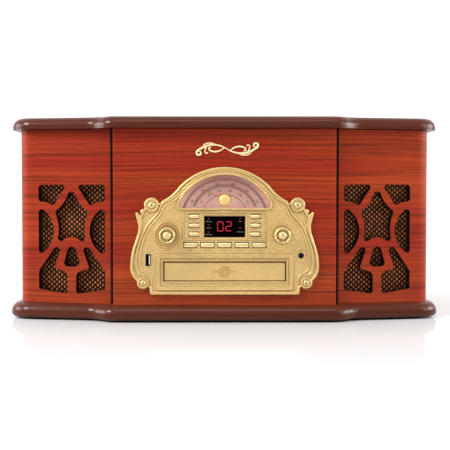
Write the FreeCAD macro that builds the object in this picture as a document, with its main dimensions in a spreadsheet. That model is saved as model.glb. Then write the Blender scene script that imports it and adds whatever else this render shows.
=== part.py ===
"""Table-top radio phonograph console: a wooden cabinet with a hinged lid over a belt-drive
turntable, two speakers behind fretted wings, and a gilt fascia that holds the tuner dial,
display, knobs, buttons and disc tray. Millimetres, +X right, +Y to the back, +Z up, with the
origin under the middle of the overall box."""

import FreeCAD, Part
import math
import os
import re
import sys
import Sketcher
from FreeCAD import Placement, Rotation, Vector

# Driving dimensions, in millimetres and degrees. Names ending in _x, _y and _z are places.
DIMENSIONS = {
    # cabinet
    "base_half_width": 250.0, "base_front_y": -174.0, "base_rear_y": 182.0,
    "foot_drop": 2.0, "foot_radius": 12.0, "foot_x": 200.0, "foot_y": 130.0, "base_top_z": 19.0,
    "base_nose": 11.5, "base_under": 4.5, "lid_nose": 10.5,
    "body_half_width": 237.5, "front_y": -162.0, "rear_y": 174.0, "rim_z": 218.0,
    "wall": 12.0, "rear_wall": 9.0, "body_corner": 16.0, "moulding_corner": 28.0,
    "centre_half_width": 126.0, "tab_width": 16.0, "wing_angle": 10.5,
    "curve_start_x": 122.0, "curve_radius": 24.1, "curve_turn": 52.7,
    "fret_centre": 50.7, "fret_z": 92.8, "fret_rebate": 3.0, "seam_wide": 3.2,
    "seam_deep": 4.0,
    # lid
    "lid_half_width": 247.5, "lid_front_y": -172.5, "lid_gap": 0.6, "lid_thick": 13.4,
    "lid_border": 34.0, "lid_panel_thick": 4.0, "lid_panel_drop": 0.6,
    # hinges and stay
    "hinge_x": 150.0, "hinge_y": 177.0, "hinge_z": 218.3, "knuckle": 3.0, "hinge_half": 20.0,
    "hinge_mid": 7.0, "hinge_pin": 1.4, "leaf": 1.2,
    "stay_length": 105.0, "stay_arm_x": 218.4, "stay_drop_angle": 4.9, "stay_track_angle": 6.5,
    # turntable
    "deck_z": 172.0, "deck_thick": 3.0, "cup_floor_z": 160.0, "cup_radius": 149.0, "cup_wall": 2.5,
    "platter_x": -66.0, "platter_y": 7.0, "platter_radius": 145.0, "platter_top_z": 175.0,
    "platter_rim_z": 163.0, "platter_web": 3.5, "drive_ring": 95.0, "mat_radius": 143.0,
    "mat_thick": 3.0, "shaft_seat": 4.0, "spindle_radius": 3.55, "spindle_top_z": 188.0,
    "motor_dx": -79.2, "motor_dy": 79.2, "motor_radius": 17.0, "pulley_radius": 6.0,
    # tonearm
    "arm_x": 120.0, "arm_y": 107.0, "arm_z": 188.0, "arm_radius": 3.5, "arm_reach": 224.0,
    "arm_base_radius": 22.0, "arm_base_top_z": 176.0, "rest_reach": 125.0,
    "lift_radius": 36.0, "cue_x": 145.0, "cue_y": 95.0, "cue_z": 182.0, "cue_length": 27.0,
    "speed_x": 157.0, "speed_y": -82.0, "speed_travel": 16.0,
    # fascia
    "fascia_thick": 3.0, "boss_x": 82.2, "boss_z": 131.9, "boss_radius": 8.6,
    "low_boss_x": 92.0, "low_boss_z": 44.2, "low_boss_radius": 7.0,
    "dial_z": 108.4, "dial_radius": 57.6, "hub_z": 137.5, "hub_radius": 7.4,
    "needle_length": 24.0, "needle_angle": 153.0,
    "knob_x": 64.3, "knob_z": 98.3, "knob_radius": 9.3, "knob_face_y": -182.0,
    "display_half_width": 23.1, "display_low_z": 95.7, "display_high": 24.0,
    "side_key_x": 34.6, "side_key_z": 109.2, "side_key_pitch": 10.0, "side_key_wide": 10.8,
    "side_key_high": 5.0, "row_key_z": 86.9, "row_key_pitch": 19.45, "row_key_wide": 15.0,
    "row_key_high": 6.0, "key_gap": 0.35, "key_proud": 4.4, "key_travel": 1.0, "switch_high": 2.6,
    "usb_x": -86.0, "usb_z": 70.0, "jack_x": 86.1, "jack_z": 75.0, "jack_bore": 1.8,
    "badge_x": 3.0, "badge_z": 195.0, "badge_wire": 0.8,
    # dial drive
    "drum_radius": 24.0, "shaft_radius": 3.0, "cord_y": -153.5, "board_y": -150.0,
    # disc player
    "slot_half_width": 69.2, "slot_low_z": 46.1, "slot_high": 22.3, "tray_half_width": 63.0,
    "tray_low_z": 50.0, "tray_thick": 6.0, "tray_rear_y": -13.0, "disc_y": -99.5,
    "disc_radius": 60.6, "gear_x": 46.5, "gear_y": -148.0, "gear_pitch": 10.0, "gear_teeth": 20.0,
}
SHEET = "Dims"

doc = FreeCAD.newDocument("console")
sheet = doc.addObject("Spreadsheet::Sheet", SHEET)
for row, (alias, value) in enumerate(DIMENSIONS.items(), 1):
    sheet.set(f"A{row}", alias)
    sheet.set(f"B{row}", str(value))
    sheet.setAlias(f"B{row}", alias)
doc.recompute()


class Sizes:
    """The sheet's values by name, for the geometry that this script works out itself."""

    def __getattr__(self, alias):
        return float(sheet.get(alias))


d = Sizes()
NODES = {}


def bound(text):
    """An expression on the sheet's cells, with each alias written as FreeCAD wants it."""
    return re.sub(r"[a-z_]+", lambda m: f"{SHEET}.{m[0]}" if m[0] in DIMENSIONS else m[0], str(text))


def node(label, thing):
    """Marks a finished object as a sub-part, which is written to its own file."""
    thing.Label = label
    NODES[label] = thing
    return thing


# ---------------------------------------------------------------- primitives and booleans
def bind(thing, **sizes):
    for name, text in sizes.items():
        thing.setExpression(name.replace("__", "."), bound(text))
    return thing


def box(x, y, z, wide, deep, high):
    """A block from its lowest corner, each value an expression on the sheet."""
    return bind(doc.addObject("Part::Box", "Block"), Length=wide, Width=deep, Height=high,
                Placement__Base__x=x, Placement__Base__y=y, Placement__Base__z=z)


def rod(x, y, z, radius, length, along="z"):
    """A cylinder that starts at a point and runs along +X, +Y or +Z."""
    turned = {"z": Rotation(), "y": Rotation(Vector(1, 0, 0), -90), "x": Rotation(Vector(0, 1, 0), 90)}
    made = doc.addObject("Part::Cylinder", "Rod")
    made.Placement = Placement(Vector(), turned[along])
    return bind(made, Radius=radius, Height=length,
                Placement__Base__x=x, Placement__Base__y=y, Placement__Base__z=z)


def cone(x, y, z, low_radius, high_radius, length, along="z"):
    turned = {"z": Rotation(), "y": Rotation(Vector(1, 0, 0), -90)}
    made = doc.addObject("Part::Cone", "Taper")
    made.Placement = Placement(Vector(), turned[along])
    return bind(made, Radius1=low_radius, Radius2=high_radius, Height=length,
                Placement__Base__x=x, Placement__Base__y=y, Placement__Base__z=z)


def fuse(*things):
    made = doc.addObject("Part::MultiFuse", "Joined")
    made.Shapes = list(things)
    made.Refine = True
    return made


def cut(base, *tools):
    made = doc.addObject("Part::Cut", "Cut")
    made.Base = base
    made.Tool = tools[0] if len(tools) == 1 else fuse(*tools)
    return made


def group(*things):
    """Separate solids that share one node."""
    made = doc.addObject("Part::Compound", "Set")
    made.Links = list(things)
    return made


def mirrored(thing):
    """The same shape on the other side of the console's middle plane."""
    made = doc.addObject("Part::Mirroring", "Mirror")
    made.Source = thing
    made.Normal = Vector(1, 0, 0)
    return made


# ---------------------------------------------------------------- outlines
def trace(start, steps):
    """Line and arc geometry from start: (x, y) is a line to there, (mx, my, x, y) an arc."""
    here, made = Vector(*start), []
    for step in steps:
        there = Vector(*step[-2:])
        if len(step) == 2:
            made.append(Part.LineSegment(here, there))
        else:
            made.append(Part.Arc(here, Vector(*step[:2]), there))
        here = there
    return made


def both_halves(start, steps):
    """A closed outline from its right half, which starts and ends on the middle line."""
    right = trace(start, steps)
    points = [start] + [s[-2:] for s in steps]
    back = []
    for k in range(len(steps) - 1, -1, -1):
        x, y = points[k]
        back.append((-x, y) if len(steps[k]) == 2 else (-steps[k][0], steps[k][1], -x, y))
    return right + trace((-points[-1][0], points[-1][1]), back)


def mirror_steps(start, steps):
    """The same open outline on the other side of the middle line."""
    return (-start[0], start[1]), [
        (-s[0], s[1]) if len(s) == 2 else (-s[0], s[1], -s[2], s[3]) for s in steps
    ]


class Walk:
    """A path drawn by heading and distance, for outlines whose parts run into each other."""

    def __init__(self, x, y, heading=0.0):
        self.x, self.y, self.heading, self.start, self.steps = x, y, heading, (x, y), []

    def line(self, length):
        a = math.radians(self.heading)
        self.x += length * math.cos(a)
        self.y += length * math.sin(a)
        self.steps.append((self.x, self.y))

    def arc(self, radius, turn):
        """A tangent arc: turn is in degrees, positive to the left."""
        side = math.copysign(1, turn)
        a = math.radians(self.heading)
        cx, cy = self.x - side * radius * math.sin(a), self.y + side * radius * math.cos(a)

        def at(share):
            b = math.radians(self.heading + turn * share)
            return cx + side * radius * math.sin(b), cy - side * radius * math.cos(b)

        middle = at(0.5)
        self.x, self.y = at(1.0)
        self.steps.append((*middle, self.x, self.y))
        self.heading += turn


def moulded_half(half_width, front_y, rear_y, inset=0.0):
    """Right half of the base's or lid's plan: straight front, reverse curve, canted wing,
    round corner and straight side. An inset keeps the same shape inside the first."""
    walk = Walk(0.0, front_y + inset)
    walk.line(d.curve_start_x)
    walk.arc(d.curve_radius - inset, d.curve_turn)
    walk.arc(d.curve_radius + inset, d.wing_angle - d.curve_turn)
    corner = d.moulding_corner - min(inset, 20.0)
    lean = math.radians(d.wing_angle)
    reach = half_width - inset - walk.x - corner * (1 - math.sin(lean))
    walk.line(reach / math.cos(lean))
    walk.arc(corner, 90.0 - d.wing_angle)
    walk.line(rear_y - inset - walk.y)
    walk.steps.append((0.0, rear_y - inset))
    return walk.start, walk.steps


def shell_walk(inset):
    """The side shell's outer face at inset 0, or the face that far inside it."""
    lean = math.radians(d.wing_angle)
    saved = inset * math.tan(lean / 2)
    walk = Walk(d.centre_half_width - d.tab_width, d.front_y + d.wall + inset)
    walk.line(d.tab_width - saved)
    walk.heading = d.wing_angle
    radius = d.body_corner - inset
    reach = d.body_half_width - inset - walk.x - radius * (1 - math.sin(lean))
    walk.line(reach / math.cos(lean))
    walk.arc(radius, 90.0 - d.wing_angle)
    walk.line(d.rear_y - walk.y)
    return walk


# ---------------------------------------------------------------- bodies
ORIGIN_PLANES = {"top": "XY_Plane", "front": "XZ_Plane", "side": "YZ_Plane"}


class Piece:
    """A PartDesign body. Sketches lie on the top plane at a height, on the front plane at a
    y, or on the side plane at an x. Pads grow up, to the front or to the right, and pockets
    cut the other way."""

    def __init__(self, label):
        self.body = doc.addObject("PartDesign::Body", label)
        node(label, self.body)

    def sketch(self, plane, at, geometry):
        made = self.body.newObject("Sketcher::SketchObject", "Sketch")
        roles = {o.Role: o for o in self.body.Origin.OriginFeatures}
        made.AttachmentSupport = [(roles[ORIGIN_PLANES[plane]], "")]
        made.MapMode = "FlatFace"
        sign = "-1 * " if plane == "front" else ""
        if at is not None:
            made.setExpression("AttachmentOffset.Base.z", bound(f"{sign}({at})"))
        made.addGeometry(geometry, False)
        return made

    def _feature(self, kind, sketch, length):
        made = self.body.newObject(kind, kind.split("::")[1])
        made.Profile = sketch
        made.setExpression("Length", bound(length))
        sketch.Visibility = False
        return made

    def pad(self, plane, at, length, geometry):
        return self._feature("PartDesign::Pad", self.sketch(plane, at, geometry), length)

    def cut_in(self, sketch, length):
        return self._feature("PartDesign::Pocket", sketch, length)

    def pocket(self, plane, at, length, geometry):
        return self.cut_in(self.sketch(plane, at, geometry), length)

    def disc(self, plane, at, length, x, y, radius, kind="PartDesign::Pad"):
        """A round pad or pocket whose centre and radius follow the sheet."""
        sketch = self.sketch(plane, at, [Part.Circle(Vector(1, 1, 0), Vector(0, 0, 1), 1.0)])
        for what, text in (("Radius", radius), ("DistanceX", x), ("DistanceY", y)):
            if what == "Radius":
                k = sketch.addConstraint(Sketcher.Constraint("Radius", 0, 1.0))
            else:
                k = sketch.addConstraint(Sketcher.Constraint(what, -1, 1, 0, 3, 1.0))
            sketch.setExpression(f"Constraints[{k}]", bound(text))
        return self._feature(kind, sketch, length)

    def hole(self, plane, at, depth, x, y, radius):
        return self.disc(plane, at, depth, x, y, radius, "PartDesign::Pocket")

    def block(self, plane, at, length, x, y, wide, high, kind="PartDesign::Pad"):
        """A rectangular pad or pocket whose corner and sides follow the sheet."""
        corners = [Vector(0, 0, 0), Vector(9, 0, 0), Vector(9, 9, 0), Vector(0, 9, 0)]
        lines = [Part.LineSegment(corners[k], corners[(k + 1) % 4]) for k in range(4)]
        sketch = self.sketch(plane, at, lines)
        for k in range(4):
            sketch.addConstraint(Sketcher.Constraint("Coincident", k, 2, (k + 1) % 4, 1))
            sketch.addConstraint(Sketcher.Constraint("Horizontal" if k % 2 == 0 else "Vertical", k))
        for what, ends, text in (("DistanceX", (0, 1, 0, 2), wide), ("DistanceY", (1, 1, 1, 2), high),
                                 ("DistanceX", (-1, 1, 0, 1), x), ("DistanceY", (-1, 1, 0, 1), y)):
            k = sketch.addConstraint(Sketcher.Constraint(what, *ends, 9.0))
            sketch.setExpression(f"Constraints[{k}]", bound(text))
        return self._feature(kind, sketch, length)

    def window(self, plane, at, depth, x, y, wide, high):
        return self.block(plane, at, depth, x, y, wide, high, "PartDesign::Pocket")

    def edges(self, chosen):
        """Names of the edges of the shape so far that chosen(edge) picks."""
        doc.recompute()
        shape = self.body.Tip.Shape
        return [f"Edge{k}" for k, e in enumerate(shape.Edges, 1) if chosen(e)]

    def fillet(self, radius, chosen):
        names = self.edges(chosen)
        base = self.body.Tip
        made = self.body.newObject("PartDesign::Fillet", "Fillet")
        made.Base = (base, names)
        made.setExpression("Radius", bound(radius))
        return made


def level(z, shape_test=None):
    """Picks edges that lie flat at height z."""
    def chosen(edge):
        box_ = edge.BoundBox
        flat = abs(box_.ZMin - z) < 0.01 and abs(box_.ZMax - z) < 0.01
        return flat and (shape_test is None or shape_test(box_))
    return chosen


def rectangle(x1, y1, x2, y2):
    return trace((x1, y1), [(x2, y1), (x2, y2), (x1, y2), (x1, y1)])


def ring_geometry(cx, cy, *radii):
    return [Part.Circle(Vector(cx, cy, 0), Vector(0, 0, 1), r) for r in radii]


# ---------------------------------------------------------------- cabinet
def base_board():
    piece = Piece("base_board")
    start, steps = moulded_half(d.base_half_width, d.base_front_y, d.base_rear_y)
    piece.pad("top", "foot_drop", "base_top_z - foot_drop", both_halves(start, steps))
    rear = d.base_rear_y
    piece.fillet("base_nose", level(d.base_top_z, lambda b: b.YMin < rear - 1))
    piece.fillet("base_under", level(d.foot_drop, lambda b: b.YMin < rear - 1))
    for sx in ("", "-1 * "):
        for sy in ("", "-1 * "):
            piece.hole("top", "2 * foot_drop", "foot_drop", f"{sx}foot_x", f"{sy}foot_y",
                       "foot_radius + 0.2")
    for k in range(7):
        for side in (-1, 1):
            piece.window("top", "base_top_z", "base_top_z", side * 105 - 30, 20 + 12 * k, 60, 5)


def rubber_feet():
    feet = [cone(f"{sx} * foot_x", f"{sy} * foot_y", 0, "foot_radius - 1.5", "foot_radius",
                 "2 * foot_drop") for sx in (1, -1) for sy in (1, -1)]
    node("rubber_feet", group(*feet))


def fret_outlines():
    """The eight openings of the fretted wing, about the middle of the fret."""
    corner = ((11.4, 62.4), [(35.6, 62.4), (38.6, 61.2, 39.8, 58.2), (39.8, 46.4),
              (38.7, 43.8, 36.1, 42.7), (30.8, 42.2), (28.0, 41.4, 25.3, 40.0),
              (22.6, 39.1, 20.1, 41.0), (8.9, 57.7), (8.7, 60.8, 11.4, 62.4)])
    side = ((39.8, 29.0), [(39.8, -11.6), (37.9, -15.9, 33.3, -14.5), (21.9, 14.2, 32.2, 32.1),
            (37.3, 33.7, 39.8, 29.0)])
    boot = ((17.6, -9.5), [(20.5, -10.4, 22.8, -13.0), (38.0, -34.6), (39.4, -36.8, 39.8, -39.4),
            (39.8, -56.2), (39.5, -57.7, 37.9, -58.2), (9.8, -62.8), (6.1, -61.8, 5.1, -58.2),
            (5.1, -43.6), (6.9, -39.2, 11.1, -37.0), (18.0, -34.3), (20.1, -32.7, 19.8, -30.2),
            (14.4, -14.8), (14.6, -11.2, 17.6, -9.5)])
    kite = ((0.0, 54.6), [(3.1, 53.4, 4.8, 50.2), (10.3, 40.6, 16.9, 34.0),
            (19.4, 31.0, 18.7, 27.5), (15.8, 15.8, 16.0, 3.8), (15.6, -1.2, 11.4, -2.5),
            (6.0, 0.9, 0.0, 2.6)])
    drop = ((0.0, -8.9), [(3.6, -10.2, 5.5, -13.7), (9.0, -25.8), (8.5, -29.9, 4.6, -31.7),
            (0.0, -32.1)])
    made = [both_halves(*kite), both_halves(*drop)]
    for start, steps in (corner, side, boot):
        made.append(trace(start, steps))
        made.append(trace(*mirror_steps(start, steps)))
    return made


def wing_frame(side=1):
    """Where the fret's middle lies on the wing's outer face: local x runs along the wing, away
    from the middle, y goes in and z up."""
    lean = math.radians(d.wing_angle)
    x = d.centre_half_width + d.fret_centre * math.cos(lean)
    y = d.front_y + d.wall + d.fret_centre * math.sin(lean)
    return Placement(Vector(side * x, y, d.fret_z), Rotation(Vector(0, 0, 1), side * d.wing_angle))


def on_wing(piece, geometry, depth):
    """A sketch that lies along the right wing, that far in from its outer face."""
    at = wing_frame().multVec(Vector(0, depth, 0))
    sketch = piece.sketch("front", None, geometry)
    sketch.AttachmentOffset = Placement(Vector(at.x, at.z, -at.y),
                                        Rotation(Vector(0, 1, 0), d.wing_angle))
    return sketch


def side_shells():
    """Wing, rounded corner and side bent as one wrapped panel, with a cleat for the deck.
    The back of the fret is rebated for the mesh, and a seam is cut beside the front panel."""
    piece = Piece("side_shell_right")
    outer, inner = shell_walk(0.0), shell_walk(d.wall)
    outline = trace(outer.start, outer.steps + [(inner.x, inner.y)])
    points = [inner.start] + [s[-2:] for s in inner.steps]
    back = [(*inner.steps[k][:-2], *points[k]) for k in range(len(inner.steps) - 1, -1, -1)]
    outline += trace((inner.x, inner.y), back + [outer.start])
    piece.pad("top", "base_top_z", "rim_z - base_top_z", outline)
    for opening in fret_outlines():
        piece.cut_in(on_wing(piece, opening, -2.0), "wall + 4")
    rebate = rectangle(-45.0, -69.0, 45.0, 69.0)
    piece.cut_in(on_wing(piece, rebate, d.wall - d.fret_rebate), "fret_rebate + 3")
    piece.window("front", "front_y + wall - 2", "seam_deep + 2", "centre_half_width", "base_top_z",
                 "seam_wide", "rim_z - base_top_z")
    piece.block("top", "deck_z - deck_thick - 10", "10", "body_half_width - wall - 6.8",
                "-1 * 100", "6.8", "rear_y - rear_wall + 99")
    node("side_shell_left", mirrored(piece.body))


def front_panel():
    piece = Piece("front_panel")
    piece.block("front", "front_y + wall", "wall", "-1 * centre_half_width", "base_top_z",
                "2 * centre_half_width", "rim_z - base_top_z")
    piece.fillet("1", lambda e: e.BoundBox.ZLength > 150 and e.BoundBox.YMax < d.front_y + 0.01)
    high, wide = d.dial_z, d.dial_radius + 5.4
    opening = both_halves((0.0, 38.0), [(80.0, 38.0), (80.0, 56.0), (92.0, 60.0), (92.0, 106.0),
                          (wide - 4.0, high + math.sqrt(wide**2 - (wide - 4.0) ** 2)),
                          (wide * math.sin(0.7), high + wide * math.cos(0.7), 0.0, high + wide)])
    piece.pocket("front", "front_y", "wall", opening)
    for x, z in (("boss_x", "boss_z"), ("low_boss_x", "low_boss_z")):
        for sign in ("", "-1 * "):
            piece.hole("front", "front_y", "10", sign + x, z, 1.6)


def rear_panel():
    piece = Piece("rear_panel")
    piece.block("front", "rear_y", "rear_wall", "-1 * (body_half_width - wall)", "base_top_z",
                "2 * (body_half_width - wall)", "rim_z - base_top_z")
    piece.window("front", "rear_y - rear_wall", "rear_wall", 60, 40, 110, 34)
    for k in range(6):
        piece.window("front", "rear_y - rear_wall", "rear_wall", -150, 60 + 12 * k, 90, 4)
    for sx in (-1, 1):
        for z in (32, 125):
            piece.hole("front", "rear_y - rear_wall", "rear_wall", sx * 214, z, 1.7)


def grille_meshes():
    """A flat mesh sheet behind each fret."""
    sheets = []
    for side in (1, -1):
        mesh = bind(doc.addObject("Part::Box", "Mesh"), Length="88", Width="1", Height="136")
        rebate = d.wall - d.fret_rebate + 0.02
        mesh.Placement = wing_frame(side) * Placement(Vector(-44, rebate, -68), Rotation())
        sheets.append(mesh)
    node("grille_meshes", group(*sheets))


def speakers():
    """Pressed basket with its magnet, and the paper cone inside it, on each wing."""
    back = d.wall - d.fret_rebate + 1.1
    basket = [(42.0, back), (42.0, back + 2), (38.0, back + 2), (17.0, back + 24), (22.0, back + 24),
              (22.0, back + 38), (0.0, back + 38), (0.0, back + 23), (14.5, back + 23),
              (36.0, back + 1.5), (36.0, back)]
    paper = [(35.5, back + 0.2), (35.5, back + 1.2), (13.5, back + 21.0), (0.0, back + 16.0),
             (0.0, back + 15.0), (12.5, back + 19.6), (32.0, back + 0.2)]
    parts = []
    for side in (1, -1):
        for profile in (basket, paper):
            points = [Vector(x, y, 0) for x, y in profile]
            face = Part.Face(Part.makePolygon(points + points[:1]))
            solid = face.revolve(Vector(), Vector(0, 1, 0), 360)
            made = doc.addObject("Part::Feature", "SpeakerPart")
            made.Shape = solid
            made.Placement = wing_frame(side)
            parts.append(made)
    node("speakers", group(*parts))


# ---------------------------------------------------------------- lid, hinges and stay
def lid():
    frame = Piece("lid_frame")
    low = "rim_z + lid_gap"
    top = d.rim_z + d.lid_gap + d.lid_thick
    start, steps = moulded_half(d.lid_half_width, d.lid_front_y, d.rear_y)
    frame.pad("top", low, "lid_thick", both_halves(start, steps))
    rear = d.rear_y
    frame.fillet("lid_nose", level(top, lambda b: b.YMin < rear - 1))
    start, steps = moulded_half(d.lid_half_width, d.lid_front_y, d.rear_y, d.lid_border / 2)
    frame.pocket("top", f"{low} + lid_thick", "lid_panel_thick", both_halves(start, steps))
    panel = Piece("lid_panel")
    panel.pad("top", f"{low} + lid_thick - lid_panel_thick", "lid_panel_thick - lid_panel_drop",
              both_halves(start, steps))


def hinges():
    """Two butt hinges on the rear face, with their pins held by the cabinet's leaves."""
    fixed, moving = [], []
    for sign in (1, -1):
        x = f"{sign} * hinge_x"
        low = cut(fuse(
            box(f"{x} - hinge_half", "rear_y", "hinge_z - 23", "2 * hinge_half", "leaf", "19.5"),
            box(f"{x} - hinge_mid", "rear_y", "hinge_z - 5", "2 * hinge_mid", "leaf", "4"),
            rod(f"{x} - hinge_mid", "hinge_y", "hinge_z", "knuckle", "2 * hinge_mid", "x")),
            rod(f"{x} - hinge_half", "hinge_y", "hinge_z", "hinge_pin", "2 * hinge_half", "x"))
        pin = rod(f"{x} - hinge_half", "hinge_y", "hinge_z", "hinge_pin", "2 * hinge_half", "x")
        fixed += [low, pin]
        ends = []
        for start in (f"{x} - hinge_half", f"{x} + hinge_mid + 0.3"):
            ends.append(rod(start, "hinge_y", "hinge_z", "knuckle", "hinge_half - hinge_mid - 0.3", "x"))
            ends.append(box(start, "rear_y", "hinge_z + 1", "hinge_half - hinge_mid - 0.3", "leaf", "4"))
        moving.append(cut(fuse(
            box(f"{x} - hinge_half", "rear_y", "hinge_z + 3.8", "2 * hinge_half", "leaf", "9"), *ends),
            rod(f"{x} - hinge_half", "hinge_y", "hinge_z", "hinge_pin + 0.06", "2 * hinge_half", "x")))
    node("hinge_cabinet_leaves", group(*fixed))
    node("hinge_lid_leaves", group(*moving))


def stay_point(distance, angle):
    """A point that far in front of the hinge line and that many degrees below it, as (y, z)."""
    a = math.radians(angle)
    return d.hinge_y - distance * math.cos(a), d.hinge_z - distance * math.sin(a)


def lid_stay():
    """A folding stay on the right wall: its arm turns on an ear under the lid, and its pin
    slides in a track whose line passes through the hinge, so the arm turns twice the lid."""
    top_y, top_z = stay_point(d.stay_length, d.stay_drop_angle)
    reach = 2 * d.stay_length * math.cos(math.radians(d.stay_track_angle - d.stay_drop_angle))
    pin_y, pin_z = stay_point(reach, d.stay_track_angle)
    angle = math.degrees(math.atan2(top_z - pin_z, top_y - pin_y))
    x = d.stay_arm_x

    def flat_bar(length, half, thick):
        bar = [Vector(0, -half, 0), Vector(length, -half, 0), Vector(length + half, 0, 0),
               Vector(length, half, 0), Vector(0, half, 0), Vector(-half, 0, 0)]
        sides = (Part.LineSegment(bar[0], bar[1]), Part.Arc(*bar[1:4]),
                 Part.LineSegment(bar[3], bar[4]), Part.Arc(bar[4], bar[5], bar[0]))
        return Part.Face(Part.Wire([side.toShape() for side in sides])).extrude(Vector(0, 0, thick))

    def stood(shape, x_, y, z, degrees):
        """Turns a shape drawn flat so that it stands in the Y-Z plane at x_."""
        made = shape.copy()
        made.Placement = Placement(Vector(x_, y, z), Rotation(Vector(1, 0, 0), degrees)) * Placement(
            Vector(), Rotation(Vector(1, 1, 1), 120))
        return made

    arm = stood(flat_bar(d.stay_length, 5.0, 2.0), x, pin_y, pin_z, angle)
    pin = Part.makeCylinder(2.0, 4.6, Vector(x + 1.0, pin_y, pin_z), Vector(1, 0, 0))
    eye = Part.makeCylinder(1.6, 9.0, Vector(x - 1.0, top_y, top_z), Vector(1, 0, 0))
    made = doc.addObject("Part::Feature", "StayArm")
    made.Shape = arm.fuse(pin).cut(eye).removeSplitter()
    node("stay_arm", made)

    rail_low = 66.0
    y, z = stay_point(rail_low + 160.0, d.stay_track_angle)
    rail = stood(flat_bar(160.0, 5.0, 2.0), x + 3.0, y, z, d.stay_track_angle)
    y, z = stay_point(reach + 3.0, d.stay_track_angle)
    slot = stood(flat_bar(reach + 3.0 - 78.0, 2.15, 4.0), x + 2.0, y, z, d.stay_track_angle)
    rail = rail.cut(slot)
    for along in (rail_low + 4.0, rail_low + 156.0):
        y, z = stay_point(along, d.stay_track_angle)
        rail = rail.fuse(Part.makeCylinder(3.0, d.body_half_width - d.wall - x - 4.0,
                                           Vector(x + 4.0, y, z), Vector(1, 0, 0)))
    made = doc.addObject("Part::Feature", "StayRail")
    made.Shape = rail.removeSplitter()
    node("stay_rail", made)

    under = d.rim_z + d.lid_gap
    foot = Part.makeBox(13.0, 34.0, 1.5, Vector(x - 13.3, top_y - 17.0, under - 1.5))
    ear = Part.makeBox(2.0, 12.0, under - top_z + 5.0, Vector(x - 2.3, top_y - 6.0, top_z - 5.0))
    rivet = Part.makeCylinder(1.5, 3.5, Vector(x - 1.0, top_y, top_z), Vector(1, 0, 0))
    made = doc.addObject("Part::Feature", "StayBracket")
    made.Shape = foot.fuse([ear, rivet]).removeSplitter()
    node("stay_bracket", made)


# ---------------------------------------------------------------- turntable
def deck_plate():
    piece = Piece("deck_plate")
    gap = 0.5
    inner = shell_walk(d.wall + gap)
    front = d.front_y + d.wall + gap
    back = d.rear_y - d.rear_wall - gap
    half = [(inner.start[0] - gap, front), (inner.start[0] - gap, inner.start[1])]
    half += inner.steps[:-1] + [(inner.x, back), (0.0, back)]
    piece.pad("top", "deck_z - deck_thick", "deck_thick", both_halves((0.0, front), half))
    piece.disc("top", "cup_floor_z - deck_thick", "deck_z - cup_floor_z", "platter_x", "platter_y",
               "cup_radius + cup_wall")
    piece.hole("top", "deck_z", "deck_z - cup_floor_z", "platter_x", "platter_y", "cup_radius")
    piece.disc("top", "cup_floor_z - 12", "10", "platter_x", "platter_y", "10")
    piece.hole("top", "cup_floor_z", "13", "platter_x", "platter_y", "shaft_seat + 0.05")
    piece.hole("top", "cup_floor_z", "4", "platter_x + motor_dx", "platter_y + motor_dy", "4")
    piece.window("top", "deck_z", "deck_thick", "speed_x - 2", "speed_y - 1.5",
                 "speed_travel + 4", "3")
    lift_x, lift_y = lift_post()
    piece.hole("top", "deck_z", "deck_thick", lift_x, lift_y, 3.3)
    piece.hole("top", "deck_z", "deck_thick", "arm_x", "arm_y", "6")


def platter():
    """Cast platter with its rim, drive ring and hub, the mat on it and the spindle through it."""
    def turned(low, radius, top="platter_top_z"):
        return rod("platter_x", "platter_y", low, radius, f"{top} - ({low})")

    web = "platter_top_z - platter_web"
    rim = cut(turned("platter_rim_z", "platter_radius"),
              turned("platter_rim_z", "platter_radius - 4", web))
    ring = cut(turned("platter_rim_z - 1", "drive_ring", web),
               turned("platter_rim_z - 1", "drive_ring - 3", web))
    node("platter", cut(fuse(rim, ring, turned("cup_floor_z + 0.6", "10")),
                        turned("cup_floor_z", "shaft_seat", "platter_top_z + 1")))
    mat_top = "platter_top_z + mat_thick"
    node("slip_mat", cut(turned("platter_top_z", "mat_radius", mat_top),
                         turned("platter_top_z", "shaft_seat + 0.1", mat_top)))
    node("platter_spindle", fuse(
        turned("cup_floor_z - 9.6", "shaft_seat", f"{mat_top} - 0.2"),
        turned("platter_top_z", "spindle_radius - 0.35", "spindle_top_z - 2"),
        turned(f"{mat_top} + 0.2", "spindle_radius", "spindle_top_z - 1.6"),
        cone("platter_x", "platter_y", "spindle_top_z - 1.6", "spindle_radius",
             "spindle_radius - 1.6", "1.6")))


def loop_face(x1, y1, r1, x2, y2, r2):
    """The closed outline of a belt's outer or inner side round two pulleys."""
    apart = math.hypot(x2 - x1, y2 - y1)
    along = math.atan2(y2 - y1, x2 - x1)
    open_ = math.acos((r1 - r2) / apart)

    def at(x, y, r, angle):
        return Vector(x + r * math.cos(angle), y + r * math.sin(angle), 0)

    first, last = at(x1, y1, r1, along + open_), at(x1, y1, r1, along - open_)
    near, far = at(x2, y2, r2, along + open_), at(x2, y2, r2, along - open_)
    edges = [Part.Arc(first, at(x1, y1, r1, along + math.pi), last), Part.LineSegment(last, far),
             Part.Arc(far, at(x2, y2, r2, along), near), Part.LineSegment(near, first)]
    return Part.Face(Part.Wire([e.toShape() for e in edges]))


def belt_loop(x1, y1, r1, x2, y2, r2, thick, high):
    """A flat closed belt, drawn at height 0, whose inner side clears both pulleys."""
    outer = loop_face(x1, y1, r1 + thick, x2, y2, r2 + thick)
    return outer.cut(loop_face(x1, y1, r1, x2, y2, r2)).extrude(Vector(0, 0, high))


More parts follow.
